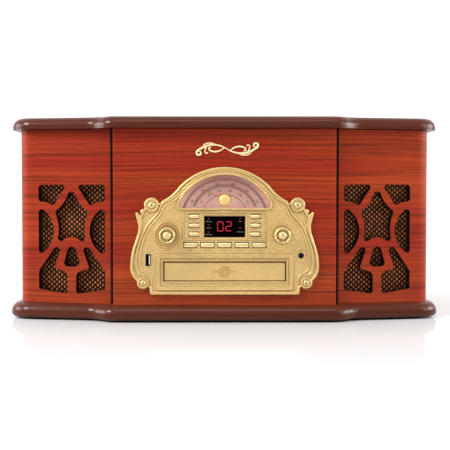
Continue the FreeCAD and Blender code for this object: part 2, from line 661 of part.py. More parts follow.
def turntable_drive():
    x, y = "platter_x + motor_dx", "platter_y + motor_dy"
    node("turntable_motor", fuse(
        rod(x, y, "cup_floor_z - deck_thick - 29", "motor_radius", "26"),
        rod(x, y, "cup_floor_z - deck_thick - 3", "motor_radius + 5", "3")))
    node("motor_pulley", fuse(
        rod(x, y, "cup_floor_z + 2.4", "pulley_radius + 1.2", "1.2"),
        rod(x, y, "cup_floor_z + 3.6", "pulley_radius", "5.6"),
        rod(x, y, "cup_floor_z + 9.2", "pulley_radius + 1.2", "1"),
        rod(x, y, "cup_floor_z - 2.9", "1.2", "6")))
    belt = belt_loop(d.platter_x, d.platter_y, d.drive_ring + 0.1, d.platter_x + d.motor_dx,
                     d.platter_y + d.motor_dy, d.pulley_radius + 0.1, 0.7, 4.0)
    made = doc.addObject("Part::Feature", "DriveBelt")
    made.Shape = belt
    made.Placement = Placement(Vector(0, 0, d.cup_floor_z + 4.4), Rotation())
    node("drive_belt", made)


# ---------------------------------------------------------------- tonearm
def lift_post(angle=24.0):
    """Where the arm lift's post stands: on the lift's radius, part way round the arm's sweep."""
    a = math.radians(270.0 - angle)
    return d.arm_x + d.lift_radius * math.cos(a), d.arm_y + d.lift_radius * math.sin(a)


def tonearm():
    lift_x, lift_y = lift_post()
    base = fuse(
        rod("arm_x", "arm_y", "deck_z", "arm_base_radius", "arm_base_top_z - deck_z"),
        box("arm_x - 15", "arm_y - rest_reach - 10", "deck_z", "28", "rest_reach + 10", "2"),
        rod("arm_x", "arm_y", "arm_base_top_z", "10.5", "4.8"),
        rod(lift_x, lift_y, "deck_z", "6", "5"),
        box("cue_x - 26", "cue_y - 5", "deck_z", "34", "14", "arm_base_top_z - deck_z"),
        box("cue_x - 6", "cue_y - 4", "deck_z", "2", "8", "cue_z - deck_z + 4"),
        box("cue_x + 4", "cue_y - 4", "deck_z", "2", "8", "cue_z - deck_z + 4"),
        rod("arm_x", "arm_y - rest_reach", "deck_z", "8", "2.5"),
        rod("arm_x", "arm_y - rest_reach", "deck_z", "3.6", "arm_z - arm_radius - deck_z - 2.3"),
        box("arm_x - 5", "arm_y - rest_reach - 4", "arm_z - arm_radius - 2.3", "11.5", "8", "2"),
        box("arm_x + arm_radius + 0.8", "arm_y - rest_reach - 4", "arm_z - arm_radius - 2.3",
            "2.2", "8", "9"))
    node("tonearm_base", cut(
        base,
        rod("arm_x", "arm_y", "deck_z + 1", "3.05", "12"),
        rod(lift_x, lift_y, "deck_z - 1", "3.05", "8"),
        rod("cue_x - 7", "cue_y", "cue_z", "1.55", "14", "x")))
    yoke = fuse(
        rod("arm_x", "arm_y", "deck_z + 1.4", "3", "9.8"),
        rod("arm_x", "arm_y", "arm_base_top_z + 5.1", "11", "2"),
        box("arm_x - 11", "arm_y - 4", "arm_base_top_z + 5.1", "2.8", "8", "arm_z - arm_base_top_z - 0.6"),
        box("arm_x + 8.2", "arm_y - 4", "arm_base_top_z + 5.1", "2.8", "8", "arm_z - arm_base_top_z - 0.6"))
    node("arm_yoke", cut(yoke, rod("arm_x - 12", "arm_y", "arm_z", "1.25", "24", "x")))
    node("arm_tube", fuse(
        rod("arm_x", "arm_y - arm_reach + 28", "arm_z", "arm_radius", "arm_reach - 24", "y"),
        box("arm_x - 7.5", "arm_y - 5.5", "arm_z - 4.2", "15", "11", "8.4"),
        rod("arm_x - 10.8", "arm_y", "arm_z", "1.2", "21.6", "x"),
        rod("arm_x", "arm_y", "arm_z", "3", "40", "y"),
        rod("arm_x", "arm_y + 18", "arm_z", "9.4", "20", "y")))
    shell = Piece("headshell")
    tip = d.arm_y - d.arm_reach
    middle = d.arm_x
    outline = trace((middle - 4.5, tip + 28.0), [
        (middle - 9.0, tip + 10.0), (middle - 7.5, tip - 8.0),
        (middle - 1.0, tip - 10.0, middle + 5.5, tip - 8.0),
        (middle + 8.0, tip + 10.0), (middle + 4.5, tip + 28.0), (middle - 4.5, tip + 28.0)])
    shell.pad("top", "arm_z - 2", "5", outline)
    shell.block("top", "arm_z - 6.2", "4.2", "arm_x - 6", "arm_y - arm_reach - 3", "12", "17")
    shell.block("top", "arm_z - 7.4", "1.2", "arm_x - 1.5", "arm_y - arm_reach - 2", "3", "6")
    shell.disc("top", "arm_z - 7.8", "0.4", "arm_x", "arm_y - arm_reach", "0.4")
    shell.block("top", "arm_z - 0.6", "1.4", "arm_x + 6", "arm_y - arm_reach - 5", "12", "4")


def arm_lift_and_controls():
    lift_x, lift_y = lift_post()
    low, high = math.radians(270.0 - 54.0), math.radians(270.0 + 8.0)

    def at(radius, angle):
        return (d.arm_x + radius * math.cos(angle), d.arm_y + radius * math.sin(angle))

    middle = (low + high) / 2
    bar = Piece("lift_rest")
    r1, r2 = d.lift_radius - 2.2, d.lift_radius + 2.2
    bar.pad("top", "arm_z - arm_radius - 3.3", "3", trace(at(r1, low), [
        (*at(r1, middle), *at(r1, high)), at(r2, high), (*at(r2, middle), *at(r2, low)), at(r1, low)]))
    bar.disc("top", "deck_z - 4", "arm_z - arm_radius - deck_z + 2", lift_x, lift_y, 3.0)
    node("cue_lever", fuse(
        rod("cue_x - 6", "cue_y", "cue_z", "1.5", "12", "x"),
        rod("cue_x - 3.8", "cue_y", "cue_z", "3.4", "7.6", "x"),
        rod("cue_x", "cue_y - cue_length", "cue_z", "1.6", "cue_length", "y"),
        rod("cue_x", "cue_y - cue_length - 4", "cue_z", "2.8", "8", "y")))
    node("speed_selector", fuse(
        box("speed_x - 2", "speed_y - 5", "deck_z + 0.4", "4", "10", "5"),
        box("speed_x - 1.2", "speed_y - 1.2", "deck_z - deck_thick - 1", "2.4", "2.4", "deck_thick + 2"),
        box("speed_x - 4", "speed_y - 4", "deck_z - deck_thick - 2.4", "8", "8", "2")))


# ---------------------------------------------------------------- fascia
def fascia_outline():
    """Right half of the gilt plate: plinth, lower boss, swelling side, leaf, bead, upper boss
    and arch."""
    lx, lz, lr = d.low_boss_x, d.low_boss_z, d.low_boss_radius
    ux, uz, ur = d.boss_x, d.boss_z, d.boss_radius

    def on(x, z, r, degrees):
        a = math.radians(degrees)
        return x + r * math.cos(a), z + r * math.sin(a)

    bead = (92.2, 124.6, 2.7)
    return (0.0, 30.7), [
        (82.4, 30.7), (83.8, 31.3, 84.4, 32.7), (85.2, 38.9), on(lx, lz, lr, -140),
        (*on(lx, lz, lr, -60), *on(lx, lz, lr, 15)), (104.0, 52.4, 106.3, 61.0),
        (105.2, 75.0, 101.6, 88.0), (97.0, 106.0, 98.9, 122.6), (97.2, 122.9, 95.4, 119.6),
        on(*bead, -60), (*on(*bead, 0), *on(*bead, 100)), on(ux, uz, ur, -25),
        (*on(ux, uz, ur, 75), *on(ux, uz, ur, 165)), (71.6, 134.6), (70.3, 136.7, 68.1, 137.9),
        (58.6, 144.6, 50.2, 154.0), (27.2, 169.4, 0.0, 174.8)]


def dial_half(grow=0.0):
    """Right half of the dial window, or of a plate that stands out round it by grow."""
    radius, low = d.dial_radius + grow, d.dial_z + 20.2 - grow
    corner = 5.0
    side_z = low + corner
    side_x = math.sqrt(radius**2 - (side_z - d.dial_z) ** 2)
    return (0.0, low), [
        (side_x - corner, low), (side_x - corner * 0.25, low + corner * 0.24, side_x, side_z),
        (radius * math.sin(0.6), d.dial_z + radius * math.cos(0.6), 0.0, d.dial_z + radius)]


def keys():
    """Name, middle x, middle z, width and height of each push button, as expressions."""
    made = []
    for side, sign in (("left", "-1 * "), ("right", "")):
        for k, place in enumerate(("top", "middle", "bottom")):
            made.append((f"key_{side}_{place}", f"{sign}side_key_x",
                         f"side_key_z + {1 - k} * side_key_pitch", "side_key_wide", "side_key_high"))
    for k in range(5):
        made.append((f"key_row_{k + 1}", f"{k - 2} * row_key_pitch", "row_key_z",
                     "row_key_wide", "row_key_high"))
    return made


def fascia():
    plate = Piece("fascia_plate")
    front = "front_y - fascia_thick"
    plate.pad("front", "front_y", "fascia_thick", both_halves(*fascia_outline()))
    plate.pad("front", front, "0.9", rectangle(-77.0, 36.2, 77.0, 76.2)
              + rectangle(-73.4, 39.8, 73.4, 72.6))
    for sign in ("", "-1 * "):
        plate.disc("front", front, "1.2", f"{sign}boss_x", "boss_z", "boss_radius - 1.8")
        plate.disc("front", front, "1.2", f"{sign}low_boss_x", "low_boss_z", "low_boss_radius - 1.2")
    plate.pad("front", front, "0.4", ring_geometry(
        -d.knob_x, d.knob_z, d.knob_radius + 6.1, d.knob_radius + 4.3))
    plate.pocket("front", f"{front} - 2", "fascia_thick + 2", both_halves(*dial_half()))
    plate.window("front", f"{front} - 2", "fascia_thick + 2", "-1 * display_half_width", "display_low_z",
                 "2 * display_half_width", "display_high")
    for _, x, z, wide, high in keys():
        plate.window("front", front, "fascia_thick", f"{x} - {wide} / 2 - key_gap",
                     f"{z} - {high} / 2 - key_gap", f"{wide} + 2 * key_gap", f"{high} + 2 * key_gap")
    plate.window("front", f"{front} - 2", "fascia_thick + 2", "-1 * slot_half_width", "slot_low_z",
                 "2 * slot_half_width", "slot_high")
    plate.window("front", f"{front} - 2", "fascia_thick + 2", "usb_x - 3.1", "usb_z - 6.8", "6.2", "13.6")
    plate.hole("front", front, "fascia_thick", "jack_x", "jack_z", 3.3)
    for sign in ("", "-1 * "):
        plate.hole("front", front, "fascia_thick", f"{sign}knob_x", "knob_z", "shaft_radius + 0.6")
        for x, z in (("boss_x", "boss_z"), ("low_boss_x", "low_boss_z")):
            plate.hole("front", f"{front} - 2", "fascia_thick + 2", sign + x, z, 1.7)
    screws = []
    for sx in (1, -1):
        for x, z, radius in (("boss_x", "boss_z", 3.6), ("low_boss_x", "low_boss_z", 3.2)):
            head = cone(f"{sx} * {x}", f"{front} - 3", z, radius - 1.0, radius, 1.7, "y")
            slot = box(f"{sx} * {x} - 4", f"{front} - 3.2", f"{z} - 0.4", 8, 1.0, 0.8)
            shank = rod(f"{sx} * {x}", f"{front} - 1.4", z, 1.5, 13.5, "y")
            screws.append(fuse(cut(head, slot), shank))
    node("fascia_screws", group(*screws))


def dial():
    lens = Piece("dial_lens")
    lens.pad("front", "front_y + 1.5", "1.5", both_halves(*dial_half(2.6)))
    lens.hole("front", "front_y", "1.5", "0", "hub_z", "hub_radius + 0.8")
    scale = Piece("dial_scale")
    scale.pad("front", "front_y + 5", "3.5", both_halves(*dial_half(2.6)))
    scale.pocket("front", "front_y + 1.5", "2.5", both_halves(*dial_half(0.8)))
    scale.hole("front", "front_y + 4", "1", "0", "hub_z", "2.4")
    needle = bind(doc.addObject("Part::Box", "Needle"), Length="needle_length", Width="1", Height="1.8")
    needle.Placement = Placement(Vector(0, d.front_y + 2.2, d.hub_z), Rotation(
        Vector(0, 1, 0), -d.needle_angle)) * Placement(Vector(0, 0, -0.9), Rotation())
    hub = fuse(
        rod("0", "front_y + 2.2", "hub_z", "hub_radius", "1.4", "y"),
        cone("0", "front_y - 2", "hub_z", "hub_radius - 2.4", "hub_radius", "4.2", "y"),
        rod("0", "front_y + 3", "hub_z", "2", "12", "y"), needle)
    drum = cut(rod("0", "cord_y - 2", "hub_z", "drum_radius + 1", "4", "y"),
               cut(rod("0", "cord_y - 0.8", "hub_z", "drum_radius + 2", "1.6", "y"),
                   rod("0", "cord_y - 0.8", "hub_z", "drum_radius", "1.6", "y")))
    node("dial_pointer", fuse(hub, drum))
    cord = belt_loop(0.0, d.hub_z, d.drum_radius + 0.1, d.knob_x, d.knob_z, d.shaft_radius + 0.1, 0.8, 0.8)
    made = doc.addObject("Part::Feature", "DialCord")
    made.Shape = cord
    made.Placement = Placement(Vector(0, d.cord_y + 0.4, 0), Rotation(Vector(1, 0, 0), 90))
    node("dial_cord", made)


def knob(label, x, shaft_rear):
    """A turned knob with a rim, four spokes, a domed centre and its shaft."""
    across = "2 * knob_radius - 2"
    spokes = [box(f"{x} - 0.7", "knob_face_y + 1.2", "knob_z - knob_radius + 1", "1.4", "2", across),
              box(f"{x} - knob_radius + 1", "knob_face_y + 1.2", "knob_z - 0.7", across, "2", "1.4")]
    well = cut(rod(x, "knob_face_y", "knob_z", "knob_radius - 1.5", "2.6", "y"),
               rod(x, "knob_face_y", "knob_z", "4", "2.6", "y"))
    body = cut(fuse(
        rod(x, "knob_face_y + 1", "knob_z", "knob_radius", "13.4", "y"),
        cone(x, "knob_face_y", "knob_z", "knob_radius - 1", "knob_radius", "1", "y")), well)
    dome = doc.addObject("Part::Sphere", "Dome")
    bind(dome, Radius="5.2", Placement__Base__x=x, Placement__Base__y="knob_face_y + 5.2",
         Placement__Base__z="knob_z")
    shaft = rod(x, "knob_face_y + 10", "knob_z", "shaft_radius", f"{shaft_rear} - knob_face_y - 10", "y")
    node(label, fuse(body, dome, *spokes, shaft))


def knobs():
    knob("volume_knob", "-1 * knob_x", "board_y - 4")
    knob("tuning_knob", "knob_x", "board_y - 0.3")


def display_and_keys():
    node("display_module", box("-1 * display_half_width + 0.2", "front_y - 2.4", "display_low_z + 0.2",
                               "2 * display_half_width - 0.4", "7", "display_high - 0.4"))
    for label, x, z, wide, high in keys():
        piece = Piece(label)
        piece.block("front", "front_y + 1", "key_proud + 1",
                    f"{x} - {wide} / 2", f"{z} - {high} / 2", wide, high)
        piece.fillet("0.7", lambda e: abs(e.BoundBox.YMax - d.front_y + d.key_proud) < 0.01)
        stem_rear = "board_y - switch_high - key_travel - 0.2"
        piece.disc("front", stem_rear, f"{stem_rear} - front_y - 1", x, z, "1.5")


def control_board():
    """The board behind the fascia with its button switches, volume control, tuning
    capacitor and tuning shaft bush."""
    board = Piece("control_board")
    board.pad("front", "board_y + 1.6", "1.6", both_halves((0.0, 82.0), [
        (74.0, 82.0), (74.0, 62.0), (98.0, 62.0), (98.0, 122.0), (14.0, 122.0), (14.0, 150.0),
        (0.0, 150.0)]))
    for _, x, z, _, _ in keys():
        board.block("front", "board_y", "switch_high", f"{x} - 3", f"{z} - 3", "6", "6")
    board.disc("front", "board_y", "8", "-1 * knob_x", "knob_z", "8")
    board.hole("front", "board_y - 8", "5", "-1 * knob_x", "knob_z", "shaft_radius + 0.1")
    board.disc("front", "board_y + 6", "4.4", "knob_x", "knob_z", "7")
    board.hole("front", "board_y", "5.5", "knob_x", "knob_z", "shaft_radius + 0.05")
    board.block("front", "board_y + 17.6", "16", "-1 * 11", "hub_z - 11", "22", "22")
    board.hole("front", "board_y", "8", "0", "hub_z", "2.1")


def sockets():
    usb = cut(box("usb_x - 2.85", "front_y - 2.8", "usb_z - 6.55",
                  "5.7", "board_y - front_y + 2.8", "13.1"),
              box("usb_x - 2.45", "front_y - 2.8", "usb_z - 6.15", "4.9", "12", "12.3"))
    tongue = box("usb_x + 0.4", "front_y - 1.6", "usb_z - 5.6", "1.8", "11", "11.2")
    node("usb_port", fuse(usb, tongue))
    node("headphone_jack", cut(
        fuse(rod("jack_x", "front_y - 2.9", "jack_z", "3.1", "8", "y"),
             box("jack_x - 5", "front_y + 1", "jack_z - 5", "10", "board_y - front_y - 1", "10")),
        rod("jack_x", "front_y - 2.9", "jack_z", "jack_bore", "13.5", "y")))


def badge():
    """A scroll of gilt wire over the fascia: a long wave with a curl at each end. The second
    half is the first turned half round."""
    curls = ((46.0, 44.0), (7.5, 120.0), (4.6, 130.0), (2.4, 120.0))
    lean = -30.0
    half = Walk(0.0, 0.0, lean)
    for radius, turn in curls:
        half.arc(radius, turn)
    whole = Walk(-half.x, -half.y, half.heading)
    for radius, turn in reversed(curls):
        whole.arc(radius, -turn)
    for radius, turn in curls:
        whole.arc(radius, turn)
    spine = Part.Wire([g.toShape() for g in trace(whole.start, whole.steps)])
    spine.Placement = Placement(Vector(d.badge_x, d.front_y - d.badge_wire, d.badge_z),
                                Rotation(Vector(1, 0, 0), 90))
    first = spine.OrderedEdges[0]
    start, way = first.valueAt(first.FirstParameter), first.tangentAt(first.FirstParameter)
    ring = Part.Wire(Part.makeCircle(d.badge_wire, start, way))
    made = doc.addObject("Part::Feature", "BadgeScroll")
    made.Shape = spine.makePipeShell([ring], True, True)
    node("badge_scroll", made)


# ---------------------------------------------------------------- disc player
def gear_profile(teeth, pitch_radius, tooth, depth_in, depth_out):
    """A straight-sided gear outline: tooth is the tooth's width on the pitch circle."""
    foot = (pitch_radius - depth_in, tooth / 2 + depth_in * 0.36)
    tip = (pitch_radius + depth_out, tooth / 2 - depth_out * 0.4)
    points = []
    for k in range(teeth):
        middle = 2 * math.pi * k / teeth
        for side, (radius, half) in ((-1, foot), (-1, tip), (1, tip), (1, foot)):
            points.append((radius, middle + side * half / radius))
    return [Vector(r * math.cos(a), r * math.sin(a), 0) for r, a in points]


def disc_player():
    """Tray with its rack, the gear that drives it, the chassis and the disc's hub."""
    tray = Piece("cd_tray")
    half = d.tray_half_width
    front = d.front_y + 0.6
    tray.pad("top", "tray_low_z", "tray_thick", trace((-half, front), [
        (half, front), (half, d.tray_rear_y), (20.0, d.tray_rear_y), (20.0, d.disc_y - 16.0),
        (-20.0, d.disc_y - 16.0), (-20.0, d.tray_rear_y), (-half, d.tray_rear_y), (-half, front)]))
    tray.hole("top", "tray_low_z + tray_thick", "2", "0", "disc_y", "disc_radius")
    pitch = 2 * math.pi * d.gear_pitch / d.gear_teeth
    rack_x = d.gear_x + d.gear_pitch
    root, back, rear = rack_x + 1.4, rack_x + 5.0, d.tray_rear_y - 1.0
    first = d.gear_y - 1.5 * pitch
    steps = [(back, first - 2.0), (back, rear), (root, rear)]
    for k in reversed(range(int((rear - 2.0 - first) / pitch) + 1)):
        y = first + pitch * k
        steps += [(root, y + 0.95), (rack_x - 0.9, y + 0.32), (rack_x - 0.9, y - 0.32), (root, y - 0.95)]
    steps.append((root, first - 2.0))
    tray.pad("top", "tray_low_z - 3.5", "3.5", trace((root, first - 2.0), steps))
    door = Piece("tray_front")
    door.block("front", "front_y + 0.6", "3.2", "-1 * slot_half_width + 1", "slot_low_z + 0.5",
               "2 * slot_half_width - 2", "slot_high - 1.5")
    door.fillet("0.8", lambda e: e.BoundBox.YMax < d.front_y - 2.59)
    profile = gear_profile(int(d.gear_teeth), d.gear_pitch, 1.25, 1.2, 0.9)
    gear = Piece("tray_gear")
    points = [p + Vector(d.gear_x, d.gear_y, 0) for p in profile]
    teeth = [Part.LineSegment(a, b) for a, b in zip(points, points[1:] + points[:1])]
    gear.pad("top", "tray_low_z - 4.6", "4.2", teeth)
    gear.hole("top", "tray_low_z", "6", "gear_x", "gear_y", "2.05")
    chassis = fuse(
        box("-70", "front_y + wall + 1", "tray_low_z - 9", "140", "160", "2"),
        box("-67.5", "front_y + wall + 1", "tray_low_z - 9", "2.5", "160", "21"),
        box("65", "front_y + wall + 1", "tray_low_z - 9", "2.5", "160", "21"),
        box("-67.5", "disc_y - 10", "tray_low_z + 10", "135", "20", "2.2"),
        box("-67.5", "disc_y - 10", "tray_low_z - 9", "2.5", "20", "21"),
        *[rod(x, y, "base_top_z", "4", "tray_low_z - 9 - base_top_z")
          for x in (-60, 60) for y in (-135, -5)],
        rod("gear_x", "gear_y", "tray_low_z - 8", "2", "7.7"),
        rod("0", "disc_y", "tray_low_z + 7.5", "14", "3"))
    chassis_body = cut(chassis, rod("0", "disc_y", "tray_low_z - 10", "1.6", "8"))
    motor = rod("0", "disc_y", "tray_low_z - 19", "12", "10")
    node("cd_chassis", group(chassis_body, cut(motor, rod("0", "disc_y", "tray_low_z - 14", "1.3", "6"))))
    node("cd_hub", fuse(
        rod("0", "disc_y", "tray_low_z - 13.5", "1.2", "14"),
        rod("0", "disc_y", "tray_low_z", "13", "4"),
        cone("0", "disc_y", "tray_low_z + 4", "7.4", "5", "2.4")))


# ---------------------------------------------------------------- electronics
def electronics():
    """Main board with its transformer, capacitors and heat sink, on standoffs at the back."""
    parts = [box("-180", "60", "base_top_z + 6", "150", "90", "1.6"),
             box("-172", "84", "base_top_z + 7.6", "46", "52", "38"),
             box("-60", "70", "base_top_z + 7.6", "22", "60", "26")]
    parts += [rod(x, y, "base_top_z + 7.6", 8, 22) for x, y in ((-105, 80), (-85, 80), (-105, 100))]
    parts += [rod(x, y, "base_top_z", 3, 6) for x in (-174, -36) for y in (66, 144)]
    node("main_board", fuse(*parts))
    plate = box("56", "rear_y", "36", "118", "1.5", "42")
    jacks = [fuse(rod(x, "rear_y - 8", z, 5.2, 9, "y"), rod(x, "rear_y + 1", z, 4.2, 7, "y"))
             for x in (72, 92) for z in (48, 66)]
    inlet = box("128", "rear_y - 14", "46", "30", "19", "20")
    hollows = [rod(x, "rear_y - 2", z, 1.7, 12, "y") for x in (72, 92) for z in (48, 66)]
    hollows += [rod(x, "rear_y - 8", "56", 4.2, 14, "y") for x in (139, 147)]
    hollows.append(box("139", "rear_y - 8", "51.8", "8", "14", "8.4"))
    post = rod("112", "rear_y - 6", "57", 3, 13, "y")
    node("rear_connectors", cut(fuse(plate, inlet, post, *jacks), *hollows))


base_board()
rubber_feet()
side_shells()
front_panel()
rear_panel()
grille_meshes()
speakers()
lid()
hinges()
lid_stay()
deck_plate()
platter()
turntable_drive()
tonearm()
arm_lift_and_controls()
fascia()
dial()
knobs()
display_and_keys()
control_board()
sockets()
badge()
disc_player()
electronics()
doc.recompute()

problems = [f"{o.Label}: {o.State}" for o in doc.Objects if "Invalid" in o.State or "Error" in o.State]
for label, thing in NODES.items():
    if thing.Shape.isNull() or not thing.Shape.isValid() or not thing.Shape.Solids:
        problems.append(f"{label}: no valid solid")
if problems:
    sys.exit("\n".join(problems))
os.makedirs("parts", exist_ok=True)
for label, thing in NODES.items():
    thing.Shape.exportStep(f"parts/{label}.step")
print(len(NODES), "nodes written")
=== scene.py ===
"""The looks of a table-top radio phonograph console: mahogany and dark mouldings, fretted
speaker wings, a gilt fascia and, under the lid, a turntable. Lengths here are in millimetres
until a piece is finished, which turns them into metres."""

import math

import bmesh
import bpy
from mathutils import Matrix, Vector


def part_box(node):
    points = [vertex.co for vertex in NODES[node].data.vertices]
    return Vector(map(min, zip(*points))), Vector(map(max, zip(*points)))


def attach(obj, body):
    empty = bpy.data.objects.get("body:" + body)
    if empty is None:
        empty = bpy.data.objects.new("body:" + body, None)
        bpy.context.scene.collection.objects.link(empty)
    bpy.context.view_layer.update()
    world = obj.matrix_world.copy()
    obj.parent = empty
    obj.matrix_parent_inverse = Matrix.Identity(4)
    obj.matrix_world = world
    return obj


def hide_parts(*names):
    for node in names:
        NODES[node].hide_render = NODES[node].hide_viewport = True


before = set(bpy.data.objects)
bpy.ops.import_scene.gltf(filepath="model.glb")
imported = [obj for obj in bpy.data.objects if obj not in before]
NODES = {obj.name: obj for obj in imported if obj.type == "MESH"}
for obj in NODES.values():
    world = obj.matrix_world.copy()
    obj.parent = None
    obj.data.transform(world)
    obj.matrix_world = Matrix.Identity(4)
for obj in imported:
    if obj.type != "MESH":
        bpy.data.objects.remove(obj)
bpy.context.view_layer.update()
MM = 0.001


def box_mm(node):
    """Lowest and highest corner of a CAD node, in millimetres."""
    low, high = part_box(node)
    return low / MM, high / MM


def middle_mm(node):
    low, high = box_mm(node)
    return (low + high) / 2


PANEL_LOW, PANEL_HIGH = box_mm("front_panel")
PANEL_Y = PANEL_LOW.y
FACE_Y = PANEL_Y - 3.0  # the fascia's front face
WING_ANGLE = math.radians(10.5)
FRET_Z, FRET_ALONG = 92.8, 50.7
DIAL_Z, DIAL_RADIUS = 108.4, 57.6
HUB_Z = 137.5
BOSSES = ((82.2, 131.9, 8.6), (92.0, 44.2, 7.0))  # x, z and radius, on each side
LEAF_TIP = Vector((98.4, 121.4))
WALL = 12.0  # how far the wings start behind the front panel's face
ARM_Z = 188.0  # the tonearm's axis

# Shaders work in metres: where the frets' cut walls and the seams beside the front panel lie, which painted
# shade darkens.
FRET_SIDE, FRET_REACH, FRET_TOP = (0.1265, 0.2195), -0.1215, 0.17
SEAM_SIDE, SEAM_REACH = (0.1261, 0.1306), -0.1455
DECK_TOP = 0.1715


# ---------------------------------------------------------------- materials
def srgb(r, g, b):
    """A colour given as 0 to 255 screen values, as the linear RGBA that shaders want."""
    linear = [c / 255 / 12.92 if c < 11 else ((c / 255 + 0.055) / 1.055) ** 2.4 for c in (r, g, b)]
    return (*linear, 1.0)


class Look:
    """A material and short calls for the nodes that it is built from."""

    def __init__(self, name, colour, **sockets):
        self.material = bpy.data.materials.new(name)
        self.material.use_nodes = True
        self.tree = self.material.node_tree
        self.shader = self.tree.nodes["Principled BSDF"]
        self.shader.inputs["Base Color"].default_value = colour
        for socket, value in sockets.items():
            self.shader.inputs[socket.replace("_", " ").title().replace("Ior", "IOR")].default_value = value

    def node(self, kind, inputs=(), **settings):
        made = self.tree.nodes.new("ShaderNode" + kind)
        for key, value in settings.items():
            setattr(made, key, value)
        for socket, value in dict(inputs).items():
            if isinstance(value, bpy.types.NodeSocket):
                self.tree.links.new(value, made.inputs[socket])
            else:
                made.inputs[socket].default_value = value
        return made

    def coordinates(self):
        return self.node("TexCoord").outputs["Object"]

    def noise(self, vector, scale, detail=3.0, roughness=0.55):
        return self.node("TexNoise", {"Vector": vector, "Scale": scale, "Detail": detail,
                                      "Roughness": roughness}).outputs["Fac"]

    def ramp(self, factor, *stops):
        """Colours along a factor: each stop is (position, colour)."""
        made = self.node("ValToRGB", {"Fac": factor})
        ends = made.color_ramp.elements
        while len(ends) < len(stops):
            ends.new(0.5)
        for element, (position, colour) in zip(ends, stops):
            element.position = position
            element.color = colour
        return made.outputs["Color"]

    def mix(self, factor, a, b, blend="MIX"):
        inputs = {"Fac": factor, "Color1": a, "Color2": b}
        return self.node("MixRGB", inputs, blend_type=blend).outputs["Color"]

    def mottle(self, colour, factor, amount, dark, light):
        """The colour, darkened and lightened along a factor; dark and light are (position, level)."""
        levels = self.ramp(factor, *((position, grey(level)) for position, level in (dark, light)))
        return self.mix(amount, colour, levels, "MULTIPLY")

    def maths(self, operation, a, b=0.0, clamp=False):
        return self.node("Math", {0: a, 1: b}, operation=operation, use_clamp=clamp).outputs["Value"]

    def between(self, value, low, high):
        """1 where the value lies between two limits."""
        above = self.maths("GREATER_THAN", value, low)
        return self.maths("MULTIPLY", above, self.maths("LESS_THAN", value, high))

    def bump(self, height, strength, distance):
        normal = self.node("Bump", {"Height": height, "Strength": strength, "Distance": distance * MM})
        self.tree.links.new(normal.outputs["Normal"], self.shader.inputs["Normal"])

    def set(self, socket, value):
        self.tree.links.new(value, self.shader.inputs[socket])

    def roughen(self, factor, low, high):
        """Ties roughness to a factor between two values."""
        self.set("Roughness", self.maths("ADD", self.maths("MULTIPLY", factor, high - low), low))


def grey(value):
    return (value, value, value, 1.0)


def veneer(name, fast, tones, streak, strength=1.0, inside=False, **sockets):
    """Lacquered wood with straight grain. fast is the axis across the grain; tones are the
    two slow ground colours, and strength is how clearly the grain shows."""
    look = Look(name, tones[0], **sockets)
    bend = look.noise(look.coordinates(), 6.0, 1.0)
    shift = look.node("CombineXYZ", {fast.upper(): look.maths("MULTIPLY", bend, 0.01)}).outputs[0]
    sway = look.node("VectorMath", {0: look.coordinates(), 1: shift}, operation="ADD").outputs[0]

    def grain(across, along, detail, roughness=0.5):
        scale = (along, across, along) if fast == "y" else (along, along, across)
        return look.noise(look.node("Mapping", {"Vector": sway, "Scale": scale}).outputs["Vector"],
                          1.0, detail, roughness)

    ground = look.ramp(grain(26, 2, 2.0), (0.38, tones[0]), (0.6, tones[1]))
    colour = look.mottle(ground, grain(620, 5, 3.0, 0.6), 1.0, (0.36, 1.0 - 0.42 * strength),
                         (0.58, 1.0 + 0.12 * strength))
    dark = look.ramp(grain(430, 5, 3.0, 0.5), (0.58, grey(0.0)), (0.68, grey(0.7 * strength)))
    colour = look.mix(dark, colour, streak)
    fibre = grain(1300, 60, 3.0, 0.7)
    colour = look.mottle(colour, fibre, 0.3 * strength, (0.35, 0.5), (0.62, 1.15))
    if inside:
        colour = look.mix(well_mask(look), colour, srgb(38, 22, 17))
        # painted shade: the fret walls and the seam beside the middle panel are darkened nearly black
        colour = look.mix(painted_shade_mask(look), colour, srgb(22, 12, 9))
    look.set("Base Color", colour)
    look.bump(fibre, 0.1, 0.1)
    return look.material


def painted_shade_mask(look):
    """1 on the cut walls of the frets and in the seam beside the middle panel, where painted
    shade darkens the wood nearly black."""
    place = look.node("TexCoord")
    at = look.node("SeparateXYZ", {0: place.outputs["Object"]})
    way = look.node("SeparateXYZ", {0: place.outputs["Normal"]})
    side = look.maths("ABSOLUTE", at.outputs["X"])
    ahead = look.maths("LESS_THAN", at.outputs["Y"], FRET_REACH)
    low = look.maths("LESS_THAN", at.outputs["Z"], FRET_TOP)
    turned = look.maths("GREATER_THAN", way.outputs["Y"], -0.9)
    walls = look.maths("MULTIPLY", look.between(side, *FRET_SIDE), look.maths("MULTIPLY", ahead, low))
    seam = look.maths("MULTIPLY", look.between(side, *SEAM_SIDE),
                      look.maths("LESS_THAN", at.outputs["Y"], SEAM_REACH))
    return look.maths("MAXIMUM", look.maths("MULTIPLY", walls, turned), look.maths("MULTIPLY", seam, 0.85))


def well_mask(look):
    """1 on walls that face the record well, above the deck and towards the middle."""
    place = look.node("TexCoord")
    flat = look.node("VectorMath", {0: place.outputs["Object"], 1: (1, 1, 0)}, operation="MULTIPLY")
    facing = look.node("VectorMath", {0: flat.outputs[0], 1: place.outputs["Normal"]},
                       operation="DOT_PRODUCT").outputs["Value"]
    height = look.node("SeparateXYZ", {0: place.outputs["Object"]}).outputs["Z"]
    deck = look.maths("GREATER_THAN", height, DECK_TOP)
    return look.maths("MULTIPLY", deck, look.maths("LESS_THAN", facing, -0.02))


